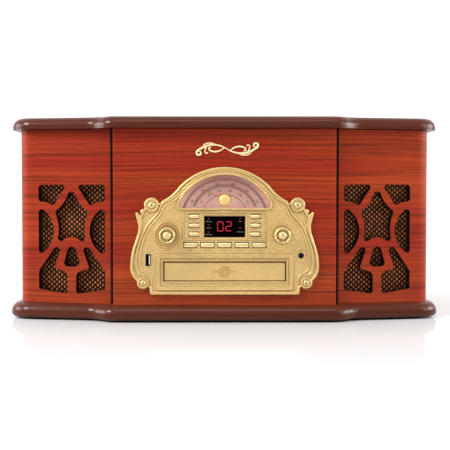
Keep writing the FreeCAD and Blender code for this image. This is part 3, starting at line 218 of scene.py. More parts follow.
def gilt(name, colour, dark, roughness, grain, metal=0.75, reach=2.4):
    """Gold paint with a fine sandy grain, and painted shade that darkens it in hollows up to reach deep."""
    look = Look(name, colour, metallic=metal, roughness=roughness)
    sand = look.noise(look.coordinates(), 900.0, 5.0, 0.78)
    cloud = look.noise(look.coordinates(), 22.0, 3.0)
    tone = look.mix(look.ramp(sand, (0.36, grey(0.0)), (0.6, grey(1.0))), dark, colour)
    tone = look.mix(grain, colour, tone)
    tone = look.mottle(tone, cloud, 0.25, (0.35, 0.72), (0.65, 1.1))
    # painted shade: ambient occlusion darkens the colour in hollows and creases towards the dark tone
    hollow = look.node("AmbientOcclusion", {"Distance": reach * MM}, samples=8).outputs["AO"]
    shade = look.ramp(hollow, (0.42, tuple(0.5 * c for c in dark[:3]) + (1.0,)), (0.92, grey(1.0)))
    look.set("Base Color", look.mix(1.0, tone, shade, "MULTIPLY"))
    look.bump(sand, 0.22 * grain + 0.04, 0.25)
    return look.material


def speckled(name, colour, variation=0.25, scale=300.0, bump=0.15, depth=0.1, **sockets):
    """A solid material with slight mottling in colour and gloss."""
    look = Look(name, colour, **sockets)
    spots = look.noise(look.coordinates(), scale, 4.0)
    look.set("Base Color", look.mottle(colour, spots, 1.0, (0.3, 1.0 - variation), (0.7, 1.0 + variation)))
    rough = look.shader.inputs["Roughness"].default_value
    look.roughen(spots, rough * 0.85, min(1.0, rough * 1.2))
    look.bump(spots, bump, depth)
    return look.material


def turned_metal(name, colour, centre, roughness=0.25, **sockets):
    """Metal with fine rings about an upright axis through centre, as a lathe leaves them."""
    look = Look(name, colour, metallic=1.0, roughness=roughness, **sockets)
    place = look.node("VectorMath", {0: look.coordinates(), 1: (centre.x * MM, centre.y * MM, 0)},
                      operation="SUBTRACT").outputs[0]
    flat = look.node("VectorMath", {0: place, 1: (1, 1, 0)}, operation="MULTIPLY").outputs[0]
    radius = look.node("VectorMath", {0: flat}, operation="LENGTH").outputs["Value"]
    rings = look.noise(look.node("CombineXYZ", {"X": radius}).outputs[0], 900.0, 3.0)
    look.set("Base Color", look.mottle(colour, rings, 0.5, (0.3, 0.75), (0.7, 1.1)))
    look.roughen(rings, roughness * 0.7, roughness * 1.5)
    look.bump(rings, 0.1, 0.05)
    return look.material


def woven(name, dark, light, pitch):
    """Plain-woven cloth: two crossing sets of threads."""
    look = Look(name, light, roughness=0.9, sheen_weight=0.3)
    place = look.node("SeparateXYZ", {0: look.coordinates()})
    turn = 2 * math.pi / (pitch * MM)
    warp = look.maths("SINE", look.maths("MULTIPLY", place.outputs["X"], turn))
    weft = look.maths("SINE", look.maths("MULTIPLY", place.outputs["Z"], turn))
    threads = look.maths("ADD", look.maths("MULTIPLY", look.maths("MULTIPLY", warp, weft), 0.5), 0.5)
    patch = look.noise(look.coordinates(), 90.0, 3.0)
    colour = look.mix(threads, dark, light)
    look.set("Base Color", look.mottle(colour, patch, 0.8, (0.35, 0.45), (0.65, 1.3)))
    look.bump(threads, 0.5, 0.2)
    return look.material


def clear(name):
    """A thin clear window: see-through, with a reflection that grows towards grazing."""
    look = Look(name, grey(1.0), roughness=0.03)
    gloss = look.node("BsdfGlossy", {"Color": grey(0.9), "Roughness": 0.03})
    through = look.node("BsdfTransparent", {"Color": (0.97, 0.95, 0.94, 1.0)})
    edge = look.node("Fresnel", {"IOR": 1.4})
    wear = look.maths("MULTIPLY", look.noise(look.coordinates(), 60.0), 0.02)
    amount = look.maths("ADD", edge.outputs[0], wear, clamp=True)
    mixed = look.node("MixShader", {0: amount, 1: through.outputs[0], 2: gloss.outputs[0]})
    output = look.tree.nodes["Material Output"]
    look.tree.links.new(mixed.outputs[0], output.inputs["Surface"])
    return look.material


def dial_paper(name):
    """The dial's mauve card, with painted shade that darkens it towards its top, and a painted glow though no
    lamp lights it.
    """
    look = Look(name, srgb(190, 140, 140), roughness=0.5, emission_strength=0.3)
    height = look.node("SeparateXYZ", {0: look.coordinates()}).outputs["Z"]
    # painted shade: the card's colour darkens from its foot towards its top
    rise = look.node("MapRange", {"Value": height, "From Min": 0.128, "From Max": 0.166}).outputs[0]
    painted_shade_fade = look.ramp(rise, (0.0, srgb(255, 212, 200)), (0.45, srgb(240, 190, 176)),
                     (1.0, srgb(190, 134, 120)))
    paper = look.noise(look.coordinates(), 400.0, 4.0)
    look.set("Base Color", look.mottle(painted_shade_fade, paper, 0.3, (0.3, 0.85), (0.7, 1.1)))
    # painted light: the card glows in its own colour though no lamp is inside
    look.set("Emission Color", painted_shade_fade)
    look.bump(paper, 0.08, 0.05)
    return look.material


def glowing(name, colour, strength):
    """A lit segment, a little uneven in brightness."""
    look = Look(name, colour, roughness=0.4, emission_strength=strength)
    weaker = tuple(0.75 * c for c in colour)
    flicker = look.ramp(look.noise(look.coordinates(), 700.0), (0.3, weaker), (0.7, colour))
    look.set("Base Color", flicker)
    look.set("Emission Color", flicker)
    return look.material


MAHOGANY = (srgb(166, 64, 26), srgb(150, 42, 22))
PORES = srgb(92, 30, 20)
LACQUER = {"roughness": 0.4, "specular_ior_level": 0.12, "coat_weight": 0.1, "coat_roughness": 0.06}
GLOSS = {"roughness": 0.4, "specular_ior_level": 0.08, "coat_weight": 0.35, "coat_roughness": 0.13}
UMBER = (srgb(90, 40, 25), srgb(82, 35, 21))
PLATTER_AT = middle_mm("platter")

wood = veneer("mahogany_upright", "z", MAHOGANY, PORES, 0.9, inside=True, **LACQUER)
wood_top = veneer("mahogany_top", "y", MAHOGANY, PORES, 0.9, **LACQUER)
moulding = veneer("dark_moulding", "z", UMBER, srgb(58, 27, 20), 0.5, **GLOSS)
board = veneer("stained_board", "z", (srgb(50, 34, 26), srgb(42, 28, 22)), srgb(26, 17, 13), 0.8,
               roughness=0.7)
gold = gilt("sanded_gilt", srgb(242, 210, 142), srgb(178, 134, 68), 0.4, 0.7, 0.5)
gold_smooth = gilt("smooth_gilt", srgb(242, 208, 142), srgb(186, 142, 76), 0.36, 0.4, 0.5)
# painted shade: a reach of 8 mm darkens the knobs' sides near the plate
gold_knob = gilt("knob_gilt", srgb(244, 214, 148), srgb(176, 132, 68), 0.34, 0.3, 0.6, 8.0)
gold_bright = gilt("key_gilt", srgb(250, 224, 164), srgb(214, 176, 114), 0.26, 0.1, 0.65)
gold_deep = speckled("emblem_gilt", srgb(196, 156, 90), 0.15, 700.0, 0.1, roughness=0.4, metallic=0.4)
# painted light: the pointer glows faintly though it is no lamp
gold_pale = speckled("pointer_gilt", srgb(222, 188, 120), 0.15, 700.0, 0.1, roughness=0.45, metallic=0.3,
                     emission_color=srgb(222, 188, 120), emission_strength=0.15)
gold_cream = speckled("badge_gilt", srgb(250, 226, 172), 0.12, 400.0, 0.05, roughness=0.35, metallic=0.4)
brass = speckled("lacquered_brass", srgb(196, 154, 84), 0.2, 200.0, metallic=1.0, roughness=0.28)
steel = speckled("satin_steel", srgb(176, 176, 178), 0.15, 400.0, metallic=1.0, roughness=0.3)
chrome = speckled("chrome", srgb(222, 222, 226), 0.06, 60.0, 0.02, metallic=1.0, roughness=0.08)
aluminium = turned_metal("turned_aluminium", srgb(196, 197, 200), PLATTER_AT)
black = speckled("black_plastic", srgb(26, 25, 25), 0.3, 900.0, 0.3, roughness=0.6, specular_ior_level=0.3)
# painted shade: near black for the USB slot's steel shell and cavity
socket_shade_black = speckled("socket_painted_shade", srgb(14, 22, 24), 0.2, 400.0, 0.02, roughness=0.4,
                       specular_ior_level=0.2)
gloss_black = speckled("gloss_black", srgb(14, 13, 14), 0.2, 120.0, 0.02, roughness=0.12)
display_black = speckled("display_window", srgb(4, 2, 3), 0.3, 120.0, 0.02, roughness=0.3,
                         specular_ior_level=0.01)
rubber = speckled("rubber", srgb(26, 25, 25), 0.3, 500.0, 0.3, roughness=0.8)
mesh_black = speckled("mesh_enamel", srgb(13, 9, 6), 0.4, 500.0, 0.1, roughness=0.6, specular_ior_level=0.15)
green = speckled("circuit_board", srgb(26, 84, 44), 0.25, 700.0, roughness=0.45)
white = speckled("white_plastic", srgb(222, 218, 208), 0.08, 300.0, 0.05, roughness=0.4)
red = speckled("red_plastic", srgb(170, 26, 24), 0.12, 300.0, 0.05, roughness=0.4)
thread = woven("cord_thread", srgb(120, 108, 86), srgb(196, 184, 158), 0.6)
cloth = woven("speaker_cloth", srgb(160, 78, 34), srgb(232, 136, 62), 1.1)
glass = clear("dial_glass")
card = dial_paper("dial_card")
# painted shade: dark brown for the gaps round the keys and the tray
painted_gap_shade = speckled("gap_shade_brown", srgb(58, 36, 18), 0.2, 500.0, 0.02, roughness=0.8, specular_ior_level=0.1)
ink = speckled("dial_ink", srgb(96, 50, 54), 0.2, 500.0, 0.02, roughness=0.6)
band_ink = speckled("dial_band_ink", srgb(222, 174, 165), 0.1, 500.0, 0.02, roughness=0.6)
# printed ink for captions and marks, and painted shade for the screws' cross recesses
ink_and_recess_shade = speckled("caption_ink_and_recess_shade", srgb(158, 118, 64), 0.2, 500.0, 0.02, roughness=0.6)
lit = glowing("display_red", (0.5, 0.01, 0.03, 1.0), 0.6)
unlit = speckled("display_grey", srgb(112, 120, 104), 0.2, 500.0, 0.02, roughness=0.5)
dim = speckled("display_dim_red", srgb(150, 22, 38), 0.2, 500.0, 0.02, roughness=0.5)

LOOKS = {
    wood: ["side_shell_left", "side_shell_right", "front_panel"],
    wood_top: ["lid_panel"],
    moulding: ["base_board", "lid_frame"],
    board: ["rear_panel"],
    gold: ["fascia_plate", "tray_front"],
    brass: ["hinge_cabinet_leaves", "hinge_lid_leaves", "stay_rail", "stay_arm", "stay_bracket",
            "motor_pulley"],
    steel: ["turntable_motor", "speakers"],
    chrome: ["platter_spindle", "arm_tube", "arm_yoke", "cue_lever", "lift_rest"],
    aluminium: ["platter"],
    black: ["deck_plate", "cd_chassis", "cd_tray", "cd_hub", "tray_gear", "tonearm_base", "rear_connectors"],
    gloss_black: ["headphone_jack", "headshell", "speed_selector"],
    display_black: ["display_module"],
    rubber: ["rubber_feet", "drive_belt"],
    green: ["control_board", "main_board"],
    thread: ["dial_cord"],
    glass: ["dial_lens"],
    card: ["dial_scale"],
}
for look, names in LOOKS.items():
    for name in names:
        NODES[name].data.materials.clear()
        NODES[name].data.materials.append(look)


# ---------------------------------------------------------------- shapes
def front(x, z, y=FACE_Y):
    return Vector((x, y, z))


def facing(x, z, y=FACE_Y):
    """Places a shape drawn with +Z up out of the page so that it faces the front at (x, z)."""
    return Matrix.Translation((x, y, z)) @ Matrix.Rotation(math.pi / 2, 4, "X")


def smooth(points, steps=6, closed=False):
    """A soft curve through points, by Catmull-Rom."""
    points = [Vector(p) for p in points]
    count = len(points)
    made = []
    for k in range(count if closed else count - 1):
        if closed:
            a, b, c, e = (points[(k + i) % count] for i in (-1, 0, 1, 2))
        else:
            b, c = points[k], points[k + 1]
            a = points[k - 1] if k else b * 2 - c
            e = points[k + 2] if k + 2 < count else c * 2 - b
        for i in range(steps):
            t = i / steps
            made.append(0.5 * (2 * b + (c - a) * t + (2 * a - 5 * b + 4 * c - e) * t * t
                               + (3 * b - a - 3 * c + e) * t * t * t))
    return made if closed else made + [points[-1]]


def circle(x, z, radius, y=FACE_Y, count=48):
    return [front(x + radius * math.cos(a), z + radius * math.sin(a), y)
            for a in (2 * math.pi * k / count for k in range(count))]


def arc(x, z, radius, low, high, y=FACE_Y, count=24):
    """Points on an arc about (x, z), between two angles in degrees."""
    return [front(x + radius * math.cos(a), z + radius * math.sin(a), y)
            for a in (math.radians(low + (high - low) * k / count) for k in range(count + 1))]


def rectangle(x1, z1, x2, z2, y=FACE_Y, corner=1.0):
    """A closed path round a rectangle with rounded corners."""
    made = []
    for cx, cz, start in ((x2 - corner, z2 - corner, 0), (x1 + corner, z2 - corner, 90),
                          (x1 + corner, z1 + corner, 180), (x2 - corner, z1 + corner, 270)):
        made += arc(cx, cz, corner, start, start + 90, y, 4)
    return made


def around(low, high, grow, y=FACE_Y, corner=1.0):
    """A closed path that stands off a box by grow, seen from the front."""
    return rectangle(low.x - grow, low.z - grow, high.x + grow, high.z + grow, y, corner)


def mirrored(points):
    return [Vector((-p.x, p.y, p.z)) for p in points]


class Piece:
    """Mesh geometry in millimetres that becomes one named object."""

    def __init__(self):
        self.mesh = bmesh.new()

    def add(self, points, faces, place=Matrix()):
        made = [self.mesh.verts.new(place @ Vector(p)) for p in points]
        for face in faces:
            self.mesh.faces.new([made[k] for k in face])
        return self

    def lathe(self, profile, place=Matrix(), segments=48):
        """Turns a profile of (radius, height) pairs about the local Z axis."""
        points, rows = [], []
        for radius, height in profile:
            row = []
            for k in range(1 if radius < 1e-6 else segments):
                a = 2 * math.pi * k / segments
                row.append(len(points))
                points.append((radius * math.cos(a), radius * math.sin(a), height))
            rows.append(row)
        faces = []
        for low, high in zip(rows, rows[1:]):
            for k in range(segments):
                ring = [low[k % len(low)], low[(k + 1) % len(low)],
                        high[(k + 1) % len(high)], high[k % len(high)]]
                faces.append(list(dict.fromkeys(ring)))
        return self.add(points, [f for f in faces if len(f) > 2], place)

    def tube(self, path, radius, closed=False, normal=(0, 1, 0), sides=10, squash=1.0):
        """Sweeps a round or, with squash, an oval section along a path that lies across
        normal. radius is one number, or a function of the share of the path covered."""
        path = [Vector(p) for p in path]
        out, count = Vector(normal), len(path)
        points, faces = [], []
        for k, point in enumerate(path):
            before = path[k - 1] if k or closed else point
            after = path[(k + 1) % count] if k < count - 1 or closed else point
            side = (after - before).normalized().cross(out)
            r = radius(k / (count - 1)) if callable(radius) else radius
            for i in range(sides):
                a = 2 * math.pi * i / sides
                points.append(point + side * (r * math.cos(a)) + out * (r * squash * math.sin(a)))
        for k in range(count if closed else count - 1):
            for i in range(sides):
                j = (i + 1) % sides
                n = (k + 1) % count
                faces.append((k * sides + i, k * sides + j, n * sides + j, n * sides + i))
        if not closed:
            faces += [tuple(range(sides)), tuple(range((count - 1) * sides, count * sides))]
        return self.add(points, faces)

    def slab(self, outline, low, high, place=Matrix()):
        """A flat shape, drawn in the local XY plane, from height low to high."""
        count = len(outline)
        points = [(x, y, low) for x, y in outline] + [(x, y, high) for x, y in outline]
        faces = [tuple(reversed(range(count))), tuple(range(count, 2 * count))]
        faces += [(k, (k + 1) % count, count + (k + 1) % count, count + k) for k in range(count)]
        return self.add(points, faces, place)

    def block(self, low, high, place=Matrix()):
        (x1, y1, z1), (x2, y2, z2) = low, high
        return self.slab([(x1, y1), (x2, y1), (x2, y2), (x1, y2)], z1, z2, place)

    def text(self, words, size, place, thick=0.1):
        """Raised numerals, centred on the place."""
        curve = bpy.data.curves.new("numerals", "FONT")
        curve.body, curve.size, curve.extrude = words, size, thick
        curve.align_x = curve.align_y = "CENTER"
        maker = bpy.data.objects.new("numerals", curve)
        made = bpy.data.meshes.new_from_object(maker)
        made.transform(place)
        self.mesh.from_mesh(made)
        bpy.data.objects.remove(maker)
        return self

    def done(self, name, look, body="cabinet", slot=None, replaces=(), sharp=40.0, merge=True):
        if merge:
            bmesh.ops.remove_doubles(self.mesh, verts=self.mesh.verts, dist=0.001)
        bmesh.ops.recalc_face_normals(self.mesh, faces=self.mesh.faces)
        data = bpy.data.meshes.new(name)
        self.mesh.to_mesh(data)
        data.transform(Matrix.Scale(MM, 4))
        data.shade_smooth()
        data.set_sharp_from_angle(angle=math.radians(sharp))
        made = bpy.data.objects.new(name, data)
        bpy.context.scene.collection.objects.link(made)
        data.materials.append(look)
        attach(made, body)
        if replaces:
            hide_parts(*replaces)
        return made


# ---------------------------------------------------------------- grilles
def wing(side):
    """Places a shape on a wing, from the fret's middle: x along the wing, y in from its face
    and z up."""
    x = PANEL_HIGH.x + FRET_ALONG * math.cos(WING_ANGLE)
    y = PANEL_Y + WALL + FRET_ALONG * math.sin(WING_ANGLE)
    return Matrix.Translation((side * x, y, FRET_Z)) @ Matrix.Rotation(side * WING_ANGLE, 4, "Z")


def expanded_mesh():
    """Black expanded metal behind the frets, with staggered pointed holes."""
    half_wide, half_high = 3.1, 2.8
    hole = [(1.3 * math.cos(a), 1.85 * math.sin(a)) for a in (math.pi * k / 4 for k in range(8))]
    corners = [(half_wide, 0), (0, half_high), (-half_wide, 0), (0, -half_high)]
    depth = 9.5
    sheet = Piece()
    for side in (1, -1):
        for row in range(-23, 24):
            for column in range(-13, 14):
                if (row + column) % 2:
                    continue
                at = wing(side) @ Matrix.Translation((column * half_wide, depth, row * half_high))
                points = [(x, 0, z) for x, z in corners + hole]
                faces = []
                for q in range(4):
                    a, b = q, (q + 1) % 4
                    first, between, last = 4 + 2 * q, 5 + 2 * q, 4 + (2 * q + 2) % 8
                    faces += [(a, between, first), (a, b, between), (b, last, between)]
                sheet.add(points, faces, at)
    made = sheet.done("grille_mesh", mesh_black, slot="mesh_metal", replaces=["grille_meshes"], sharp=60)
    solid = made.modifiers.new("thickness", "SOLIDIFY")
    solid.thickness = 0.4 * MM
    solid.offset = 0.0


def speaker_cloth():
    """A sheet of cloth stretched flat behind each sheet of expanded metal."""
    columns, rows, wide, high = 22, 34, 88.0, 136.0
    faces = [(k, k + 1, k + columns + 2, k + columns + 1)
             for j in range(rows) for k in range(j * (columns + 1), j * (columns + 1) + columns)]
    for side, name in ((1, "speaker_cloth_right"), (-1, "speaker_cloth_left")):
        points = [(wide * (i / columns - 0.5), 9.94 + 0.04 * math.sin(i * 0.9) * math.sin(j * 0.7),
                   high * (j / rows - 0.5)) for j in range(rows + 1) for i in range(columns + 1)]
        made = Piece().add(points, faces, wing(side)).done(name, cloth, slot="cord_thread")
        solid = made.modifiers.new("thickness", "SOLIDIFY")
        solid.thickness = 0.16 * MM


# ---------------------------------------------------------------- fascia
def arc_through(a, m, b, steps=10):
    """Points after a on the arc from a through m to b, in the (x, z) plane."""
    (ax, ay), (mx, my), (bx, by) = a, m, b
    d = 2 * (ax * (my - by) + mx * (by - ay) + bx * (ay - my))
    ux = ((ax**2 + ay**2) * (my - by) + (mx**2 + my**2) * (by - ay) + (bx**2 + by**2) * (ay - my)) / d
    uy = ((ax**2 + ay**2) * (bx - mx) + (mx**2 + my**2) * (ax - bx) + (bx**2 + by**2) * (mx - ax)) / d
    radius = math.hypot(ax - ux, ay - uy)
    start, middle, end = (math.atan2(y - uy, x - ux) for x, y in (a, m, b))
    turn = 2 * math.pi
    ccw_middle, ccw_end = (middle - start) % turn, (end - start) % turn
    sweep = ccw_end if ccw_middle < ccw_end else ccw_end - turn
    angles = (start + sweep * k / steps for k in range(1, steps + 1))
    return [(ux + radius * math.cos(a), uy + radius * math.sin(a)) for a in angles]


def fascia_edge():
    """The right half of the gilt plate's outline, from the foot to the top of the arch."""
    (ux, uz, ur), (lx, lz, lr) = BOSSES

    def on(x, z, r, degrees):
        a = math.radians(degrees)
        return x + r * math.cos(a), z + r * math.sin(a)

    bead = (92.2, 124.6, 2.7)
    steps = [(82.4, 30.7), (83.8, 31.3, 84.4, 32.7), (85.2, 38.9), on(lx, lz, lr, -140),
             (*on(lx, lz, lr, -60), *on(lx, lz, lr, 15)), (104.0, 52.4, 106.3, 61.0),
             (105.2, 75.0, 101.6, 88.0), (97.0, 106.0, 98.9, 122.6), (97.2, 122.9, 95.4, 119.6),
             on(*bead, -60), (*on(*bead, 0), *on(*bead, 100)), on(ux, uz, ur, -25),
             (*on(ux, uz, ur, 75), *on(ux, uz, ur, 165)), (71.6, 134.6), (70.3, 136.7, 68.1, 137.9),
             (58.6, 144.6, 50.2, 154.0), (27.2, 169.4, 0.0, 174.8)]
    path = [(0.0, 30.7)]
    for step in steps:
        path += [step] if len(step) == 2 else arc_through(path[-1], step[:2], step[2:])
    return path


def whole(half):
    """A closed outline from its right half."""
    return half + [(-x, z) for x, z in reversed(half[1:-1])]


def inset(outline, distance):
    """The same closed outline, moved in by a distance."""
    made, count = [], len(outline)
    for k, (x, z) in enumerate(outline):
        (ax, az), (bx, bz) = outline[k - 1], outline[(k + 1) % count]
        length = math.hypot(bx - ax, bz - az) or 1.0
        made.append((x - (bz - az) / length * distance, z + (bx - ax) / length * distance))
    return made


def swelling(least, rise, start, rate):
    """The radius of a leaf that swells along its length and thins again."""
    return lambda t: least + rise * math.sin(math.pi * min(1.0, start + rate * t)) ** 0.8


def fascia_mouldings():
    """The relief on the gilt plate: rim, twin border lines, boss rings, leaves and frames."""
    relief = Piece()
    rim = [(x, z) for x, z in inset(whole(fascia_edge()), 1.5)
           if (Vector((abs(x), z)) - LEAF_TIP).length > 2.4]
    relief.tube([front(x, z, FACE_Y + 0.3) for x, z in rim], 1.65, closed=True, squash=1.1)
    arch_line = [(0, 171.3), (19.2, 168.6), (31.6, 162.6), (41.2, 155.2), (48.6, 147.8), (55.8, 141.6),
                 (62.6, 137.0), (68.6, 134.4), (71.6, 131.4), (73.6, 127.0), (77.6, 119.9), (84.0, 112.9),
                 (88.6, 106.5), (92.4, 98.8), (95.6, 90.9), (98.6, 80.5), (99.8, 69.6), (99.5, 61.8),
                 (98.0, 56.4), (94.8, 53.0)]
    inner_line = [(0, 168.4), (18.8, 165.8), (30.2, 160.4), (39.4, 153.2), (46.8, 145.8), (53.8, 139.6),
                  (60.6, 134.9), (66.6, 131.8), (69.4, 127.6), (73.2, 120.0), (80.0, 112.6), (85.4, 105.2),
                  (89.2, 97.4), (92.2, 89.9), (94.4, 79.5), (95.0, 69.0), (94.4, 61.4), (91.8, 57.0),
                  (86.2, 53.8), (83.0, 49.8), (82.4, 44.0), (82.6, 37.6), (81.6, 34.6), (78.6, 33.8),
                  (40, 33.8)]
    for line, radius in ((arch_line, 1.35), (inner_line, 1.15)):
        half = smooth([front(x, z, FACE_Y + 0.1) for x, z in line])
        relief.tube(list(reversed(mirrored(half))) + half[1:], radius, squash=0.85)
    relief.tube([front(x, 33.8, FACE_Y + 0.1) for x in (-40.5, 0, 40.5)], 1.15, squash=0.85)
    for side in (1, -1):
        for x, z, radius in BOSSES:
            relief.tube(circle(side * x, z, radius - 1.7, FACE_Y - 0.8), 1.1, closed=True)
            relief.tube(circle(side * x, z, radius - 4.6, FACE_Y - 1.0), 0.7, closed=True)
        leaf = smooth([front(side * x, z) for x, z in (
            (98.6, 121.6), (95.6, 117.4), (94.2, 111.0), (95.2, 103.0), (98.2, 94.0), (101.2, 84.0),
            (103.0, 73.0), (102.6, 63.6), (99.8, 56.8))])
        relief.tube(leaf, swelling(0.35, 1.25, 0.12, 1.0), squash=0.8)
        curl = smooth([front(side * x, z) for x, z in (
            (85.4, 123.6), (88.6, 121.6), (91.6, 118.6), (92.6, 115.0), (90.6, 112.6), (88.2, 113.6))])
        relief.tube(curl, lambda t: 1.0 - 0.55 * t, squash=0.9)
        relief.lathe(dome(2.9, 2.2), facing(side * 92.2, 124.6, FACE_Y + 0.3), 24)
        tip = smooth([front(side * x, z, FACE_Y + 0.2) for x, z in (
            (99.4, 123.8), (98.2, 120.8), (97.2, 116.5), (97.0, 110.0))])
        relief.tube(tip, swelling(0.3, 1.6, 0.08, 0.92), squash=0.9)
        fold = smooth([front(side * x, z, FACE_Y + 0.4) for x, z in (
            (97.2, 121.4), (95.6, 118.4), (95.2, 113.0), (96.6, 103.0))])
        relief.tube(fold, swelling(0.5, 1.9, 0.2, 0.8), squash=0.85)
    relief.tube(dial_border(1.1), 1.0, closed=True)
    relief.tube(dial_border(3.4), 0.45, closed=True)
    relief.tube(rectangle(-46.3, 93.0, 46.3, 123.6), 0.7, closed=True)
    relief.tube(rectangle(-24.9, 94.0, 24.9, 121.4), 0.8, closed=True)
    for sign in (-1, 1):
        relief.tube([front(sign * 29.0, 94.6), front(sign * 29.0, 122.4)], 0.35)
    relief.tube(rectangle(-76.6, 36.6, 76.6, 75.8, FACE_Y - 0.3, 2.0), 1.1, closed=True)
    relief.tube(rectangle(-73.6, 39.6, 73.6, 72.8, FACE_Y - 0.2, 1.6), 0.7, closed=True)
    relief.tube(rectangle(-70.6, 44.7, 70.6, 69.8, FACE_Y, 1.6), 0.8, closed=True)
    swag = smooth([front(x, z) for x, z in (
        (-10.5, 126.8), (-6.0, 125.1), (0, 124.3), (6.0, 125.1), (10.5, 126.8))])
    relief.tube(swag, lambda t: 0.3 + 0.6 * math.sin(math.pi * t))
    relief.done("fascia_relief", gold, slot="gilt_plastic", merge=False)


def dome(radius, height, steps=8):
    """A profile from the rim to the top of a dome."""
    angles = (math.pi / 2 * k / steps for k in range(steps + 1))
    return [(radius * math.cos(a), height * math.sin(a)) for a in angles]


def dial_border(grow):
    """A closed path round the dial window, standing out from it by grow."""
    radius, low, corner = DIAL_RADIUS + grow, DIAL_Z + 20.2 - grow, 5.0
    side_z = low + corner
    side_x = math.sqrt(radius**2 - (side_z - DIAL_Z) ** 2)
    start = math.degrees(math.atan2(side_z - DIAL_Z, side_x))
    top = arc(0, DIAL_Z, radius, start, 180 - start, FACE_Y, 60)
    foot = [front(side_x - corner * 0.3, low + corner * 0.24), front(side_x - corner, low)]
    return top + mirrored(foot) + list(reversed(foot))


def screws():
    """Pan-head screws, one in each boss, with a dark raised cross painted as the shade of a cross recess."""
    heads, crosses = Piece(), Piece()
    for side in (1, -1):
        for x, z, _ in BOSSES:
            at = facing(side * x, z, FACE_Y - 1.0)
            wide = 3.5 if z > 100 else 3.1
            heads.lathe([(wide, -1.0), (wide, 0.2), (wide * 0.86, 1.1), (wide * 0.5, 1.65), (0, 1.8)], at, 32)
            # painted shade: a dark raised cross stands in for the recess
            for turn in (20, 110):
                arm = at @ Matrix.Rotation(math.radians(turn + 10 * side), 4, "Z")
                crosses.block((-wide * 0.62, -0.33, 0.6), (wide * 0.62, 0.33, 1.86), arm)
            shank = facing(side * x, z, FACE_Y)
            heads.lathe([(1.5, 0.0), (1.5, -12.0), (0, -13.0)], shank, 16)
    heads.done("fascia_screw_heads", gold_bright, slot="brass_metal", replaces=["fascia_screws"])
    crosses.done("fascia_screw_crosses", ink_and_recess_shade, slot="brass_metal")


def knobs():
    """Two turned knobs, each with a rim, four spokes and a domed centre."""
    for node, body in (("volume_knob", "volume"), ("tuning_knob", "tuning")):
        low, high = box_mm(node)
        x, z = (low.x + high.x) / 2, (low.z + high.z) / 2
        radius, length = (high.x - low.x) / 2, FACE_Y - low.y
        at = facing(x, z)
        knob = Piece()
        well = length - 1.6
        skirt = [(radius - 1.2, 0.3), (radius, 0.9), (radius + 0.2, 3.0), (radius - 0.5, 4.2)]
        rim = [(radius - 0.3, length - 1.6), (radius - 0.7, length - 0.5), (radius - 1.4, length),
               (radius - 2.2, length - 0.5), (radius - 2.5, well), (4.9, well), (4.9, well + 0.4)]
        knob.lathe(skirt + rim + [(r, well + 0.4 + h) for r, h in dome(4.8, 3.4)], at, 64)
        for turn in (5, 95, 185, 275):
            spoke = at @ Matrix.Rotation(math.radians(turn), 4, "Z")
            knob.block((4.0, -0.75, well - 0.3), (radius - 1.6, 0.75, length - 0.7), spoke)
        knob.lathe([(3.0, 1.0), (3.0, FACE_Y - high.y), (0, FACE_Y - high.y)], at, 24)
        knob.done(node + "_turned", gold_knob, body, "gilt_keys", [node])
    base = Piece()
    low, high = box_mm("volume_knob")
    at = facing((low.x + high.x) / 2, (low.z + high.z) / 2)
    base.lathe([(15.8, -0.2), (15.5, 0.7), (14.9, 1.1), (14.2, 0.9), (13.8, 0.3), (12.7, 0.3), (12.3, 0.9),
                (11.7, 1.0), (11.3, 0.4), (3.4, 0.3), (3.4, -0.2)], at, 72)
    base.done("volume_escutcheon", gold, slot="gilt_plastic")


def keys():
    """Push buttons: pillow-shaped caps that catch the light along their upper half, and dark
    tubes painted as shade in the gaps round them and round the tray."""
    gaps = Piece()
    for name in sorted(n for n in NODES if n.startswith("key_")):
        low, high = box_mm(name)
        cap = Piece()
        inward = [(0.0, 0.0), (0.0, 3.4), (0.05, 4.0), (0.2, 4.8), (0.38, 5.25), (0.52, 5.3), (0.66, 5.1),
                  (0.82, 4.6), (0.95, 3.9), (1.0, 3.3), (1.0, 0.0)]
        height, depth = high.z - low.z, high.y
        section = [(low.z + share * height, PANEL_Y + 1.0 - rise) for share, rise in inward]
        wide = high.x - low.x
        columns = [(0.0, 0.78), (0.3, 0.93), (0.9, 1.0), (wide - 0.9, 1.0), (wide - 0.3, 0.93), (wide, 0.78)]
        points = [(low.x + dx, PANEL_Y + 1.0 + (y - PANEL_Y - 1.0) * scale, z)
                  for dx, scale in columns for z, y in section]
        n = len(section)
        faces = [(c * n + k, c * n + (k + 1) % n, (c + 1) * n + (k + 1) % n, (c + 1) * n + k)
                 for c in range(len(columns) - 1) for k in range(n)]
        faces += [tuple(range(n)), tuple(reversed(range((len(columns) - 1) * n, len(columns) * n)))]
        cap.add(points, faces)
        stem = facing((low.x + high.x) / 2, (low.z + high.z) / 2, PANEL_Y + 1.0)
        cap.lathe([(1.5, 0.0), (1.5, PANEL_Y + 1.0 - depth), (0, PANEL_Y + 1.0 - depth)], stem, 16)
        cap.done(name + "_cap", gold_bright, name, "gilt_keys", [name], sharp=50)
        # painted shade: a dark tube round each key where its gap falls in shade
        gaps.tube(around(low, high, 0.25, FACE_Y + 0.25, 0.6), 0.36, closed=True)
    tray_low, tray_high = box_mm("tray_front")
    x, low_z, high_z, y = tray_high.x + 0.55, tray_low.z - 0.6, tray_high.z + 0.6, FACE_Y + 0.5
    # painted shade: a thick dark tube at the tray's top and sides and a thin one at its foot, as light falls
    # from above
    gaps.tube([front(x, low_z, y), front(x, high_z, y), front(-x, high_z, y), front(-x, low_z, y)], 0.62)
    gaps.tube([front(x, low_z, y), front(-x, low_z, y)], 0.3)
    gaps.done("fascia_gap_shade", painted_gap_shade, slot="gilt_plastic", merge=False)


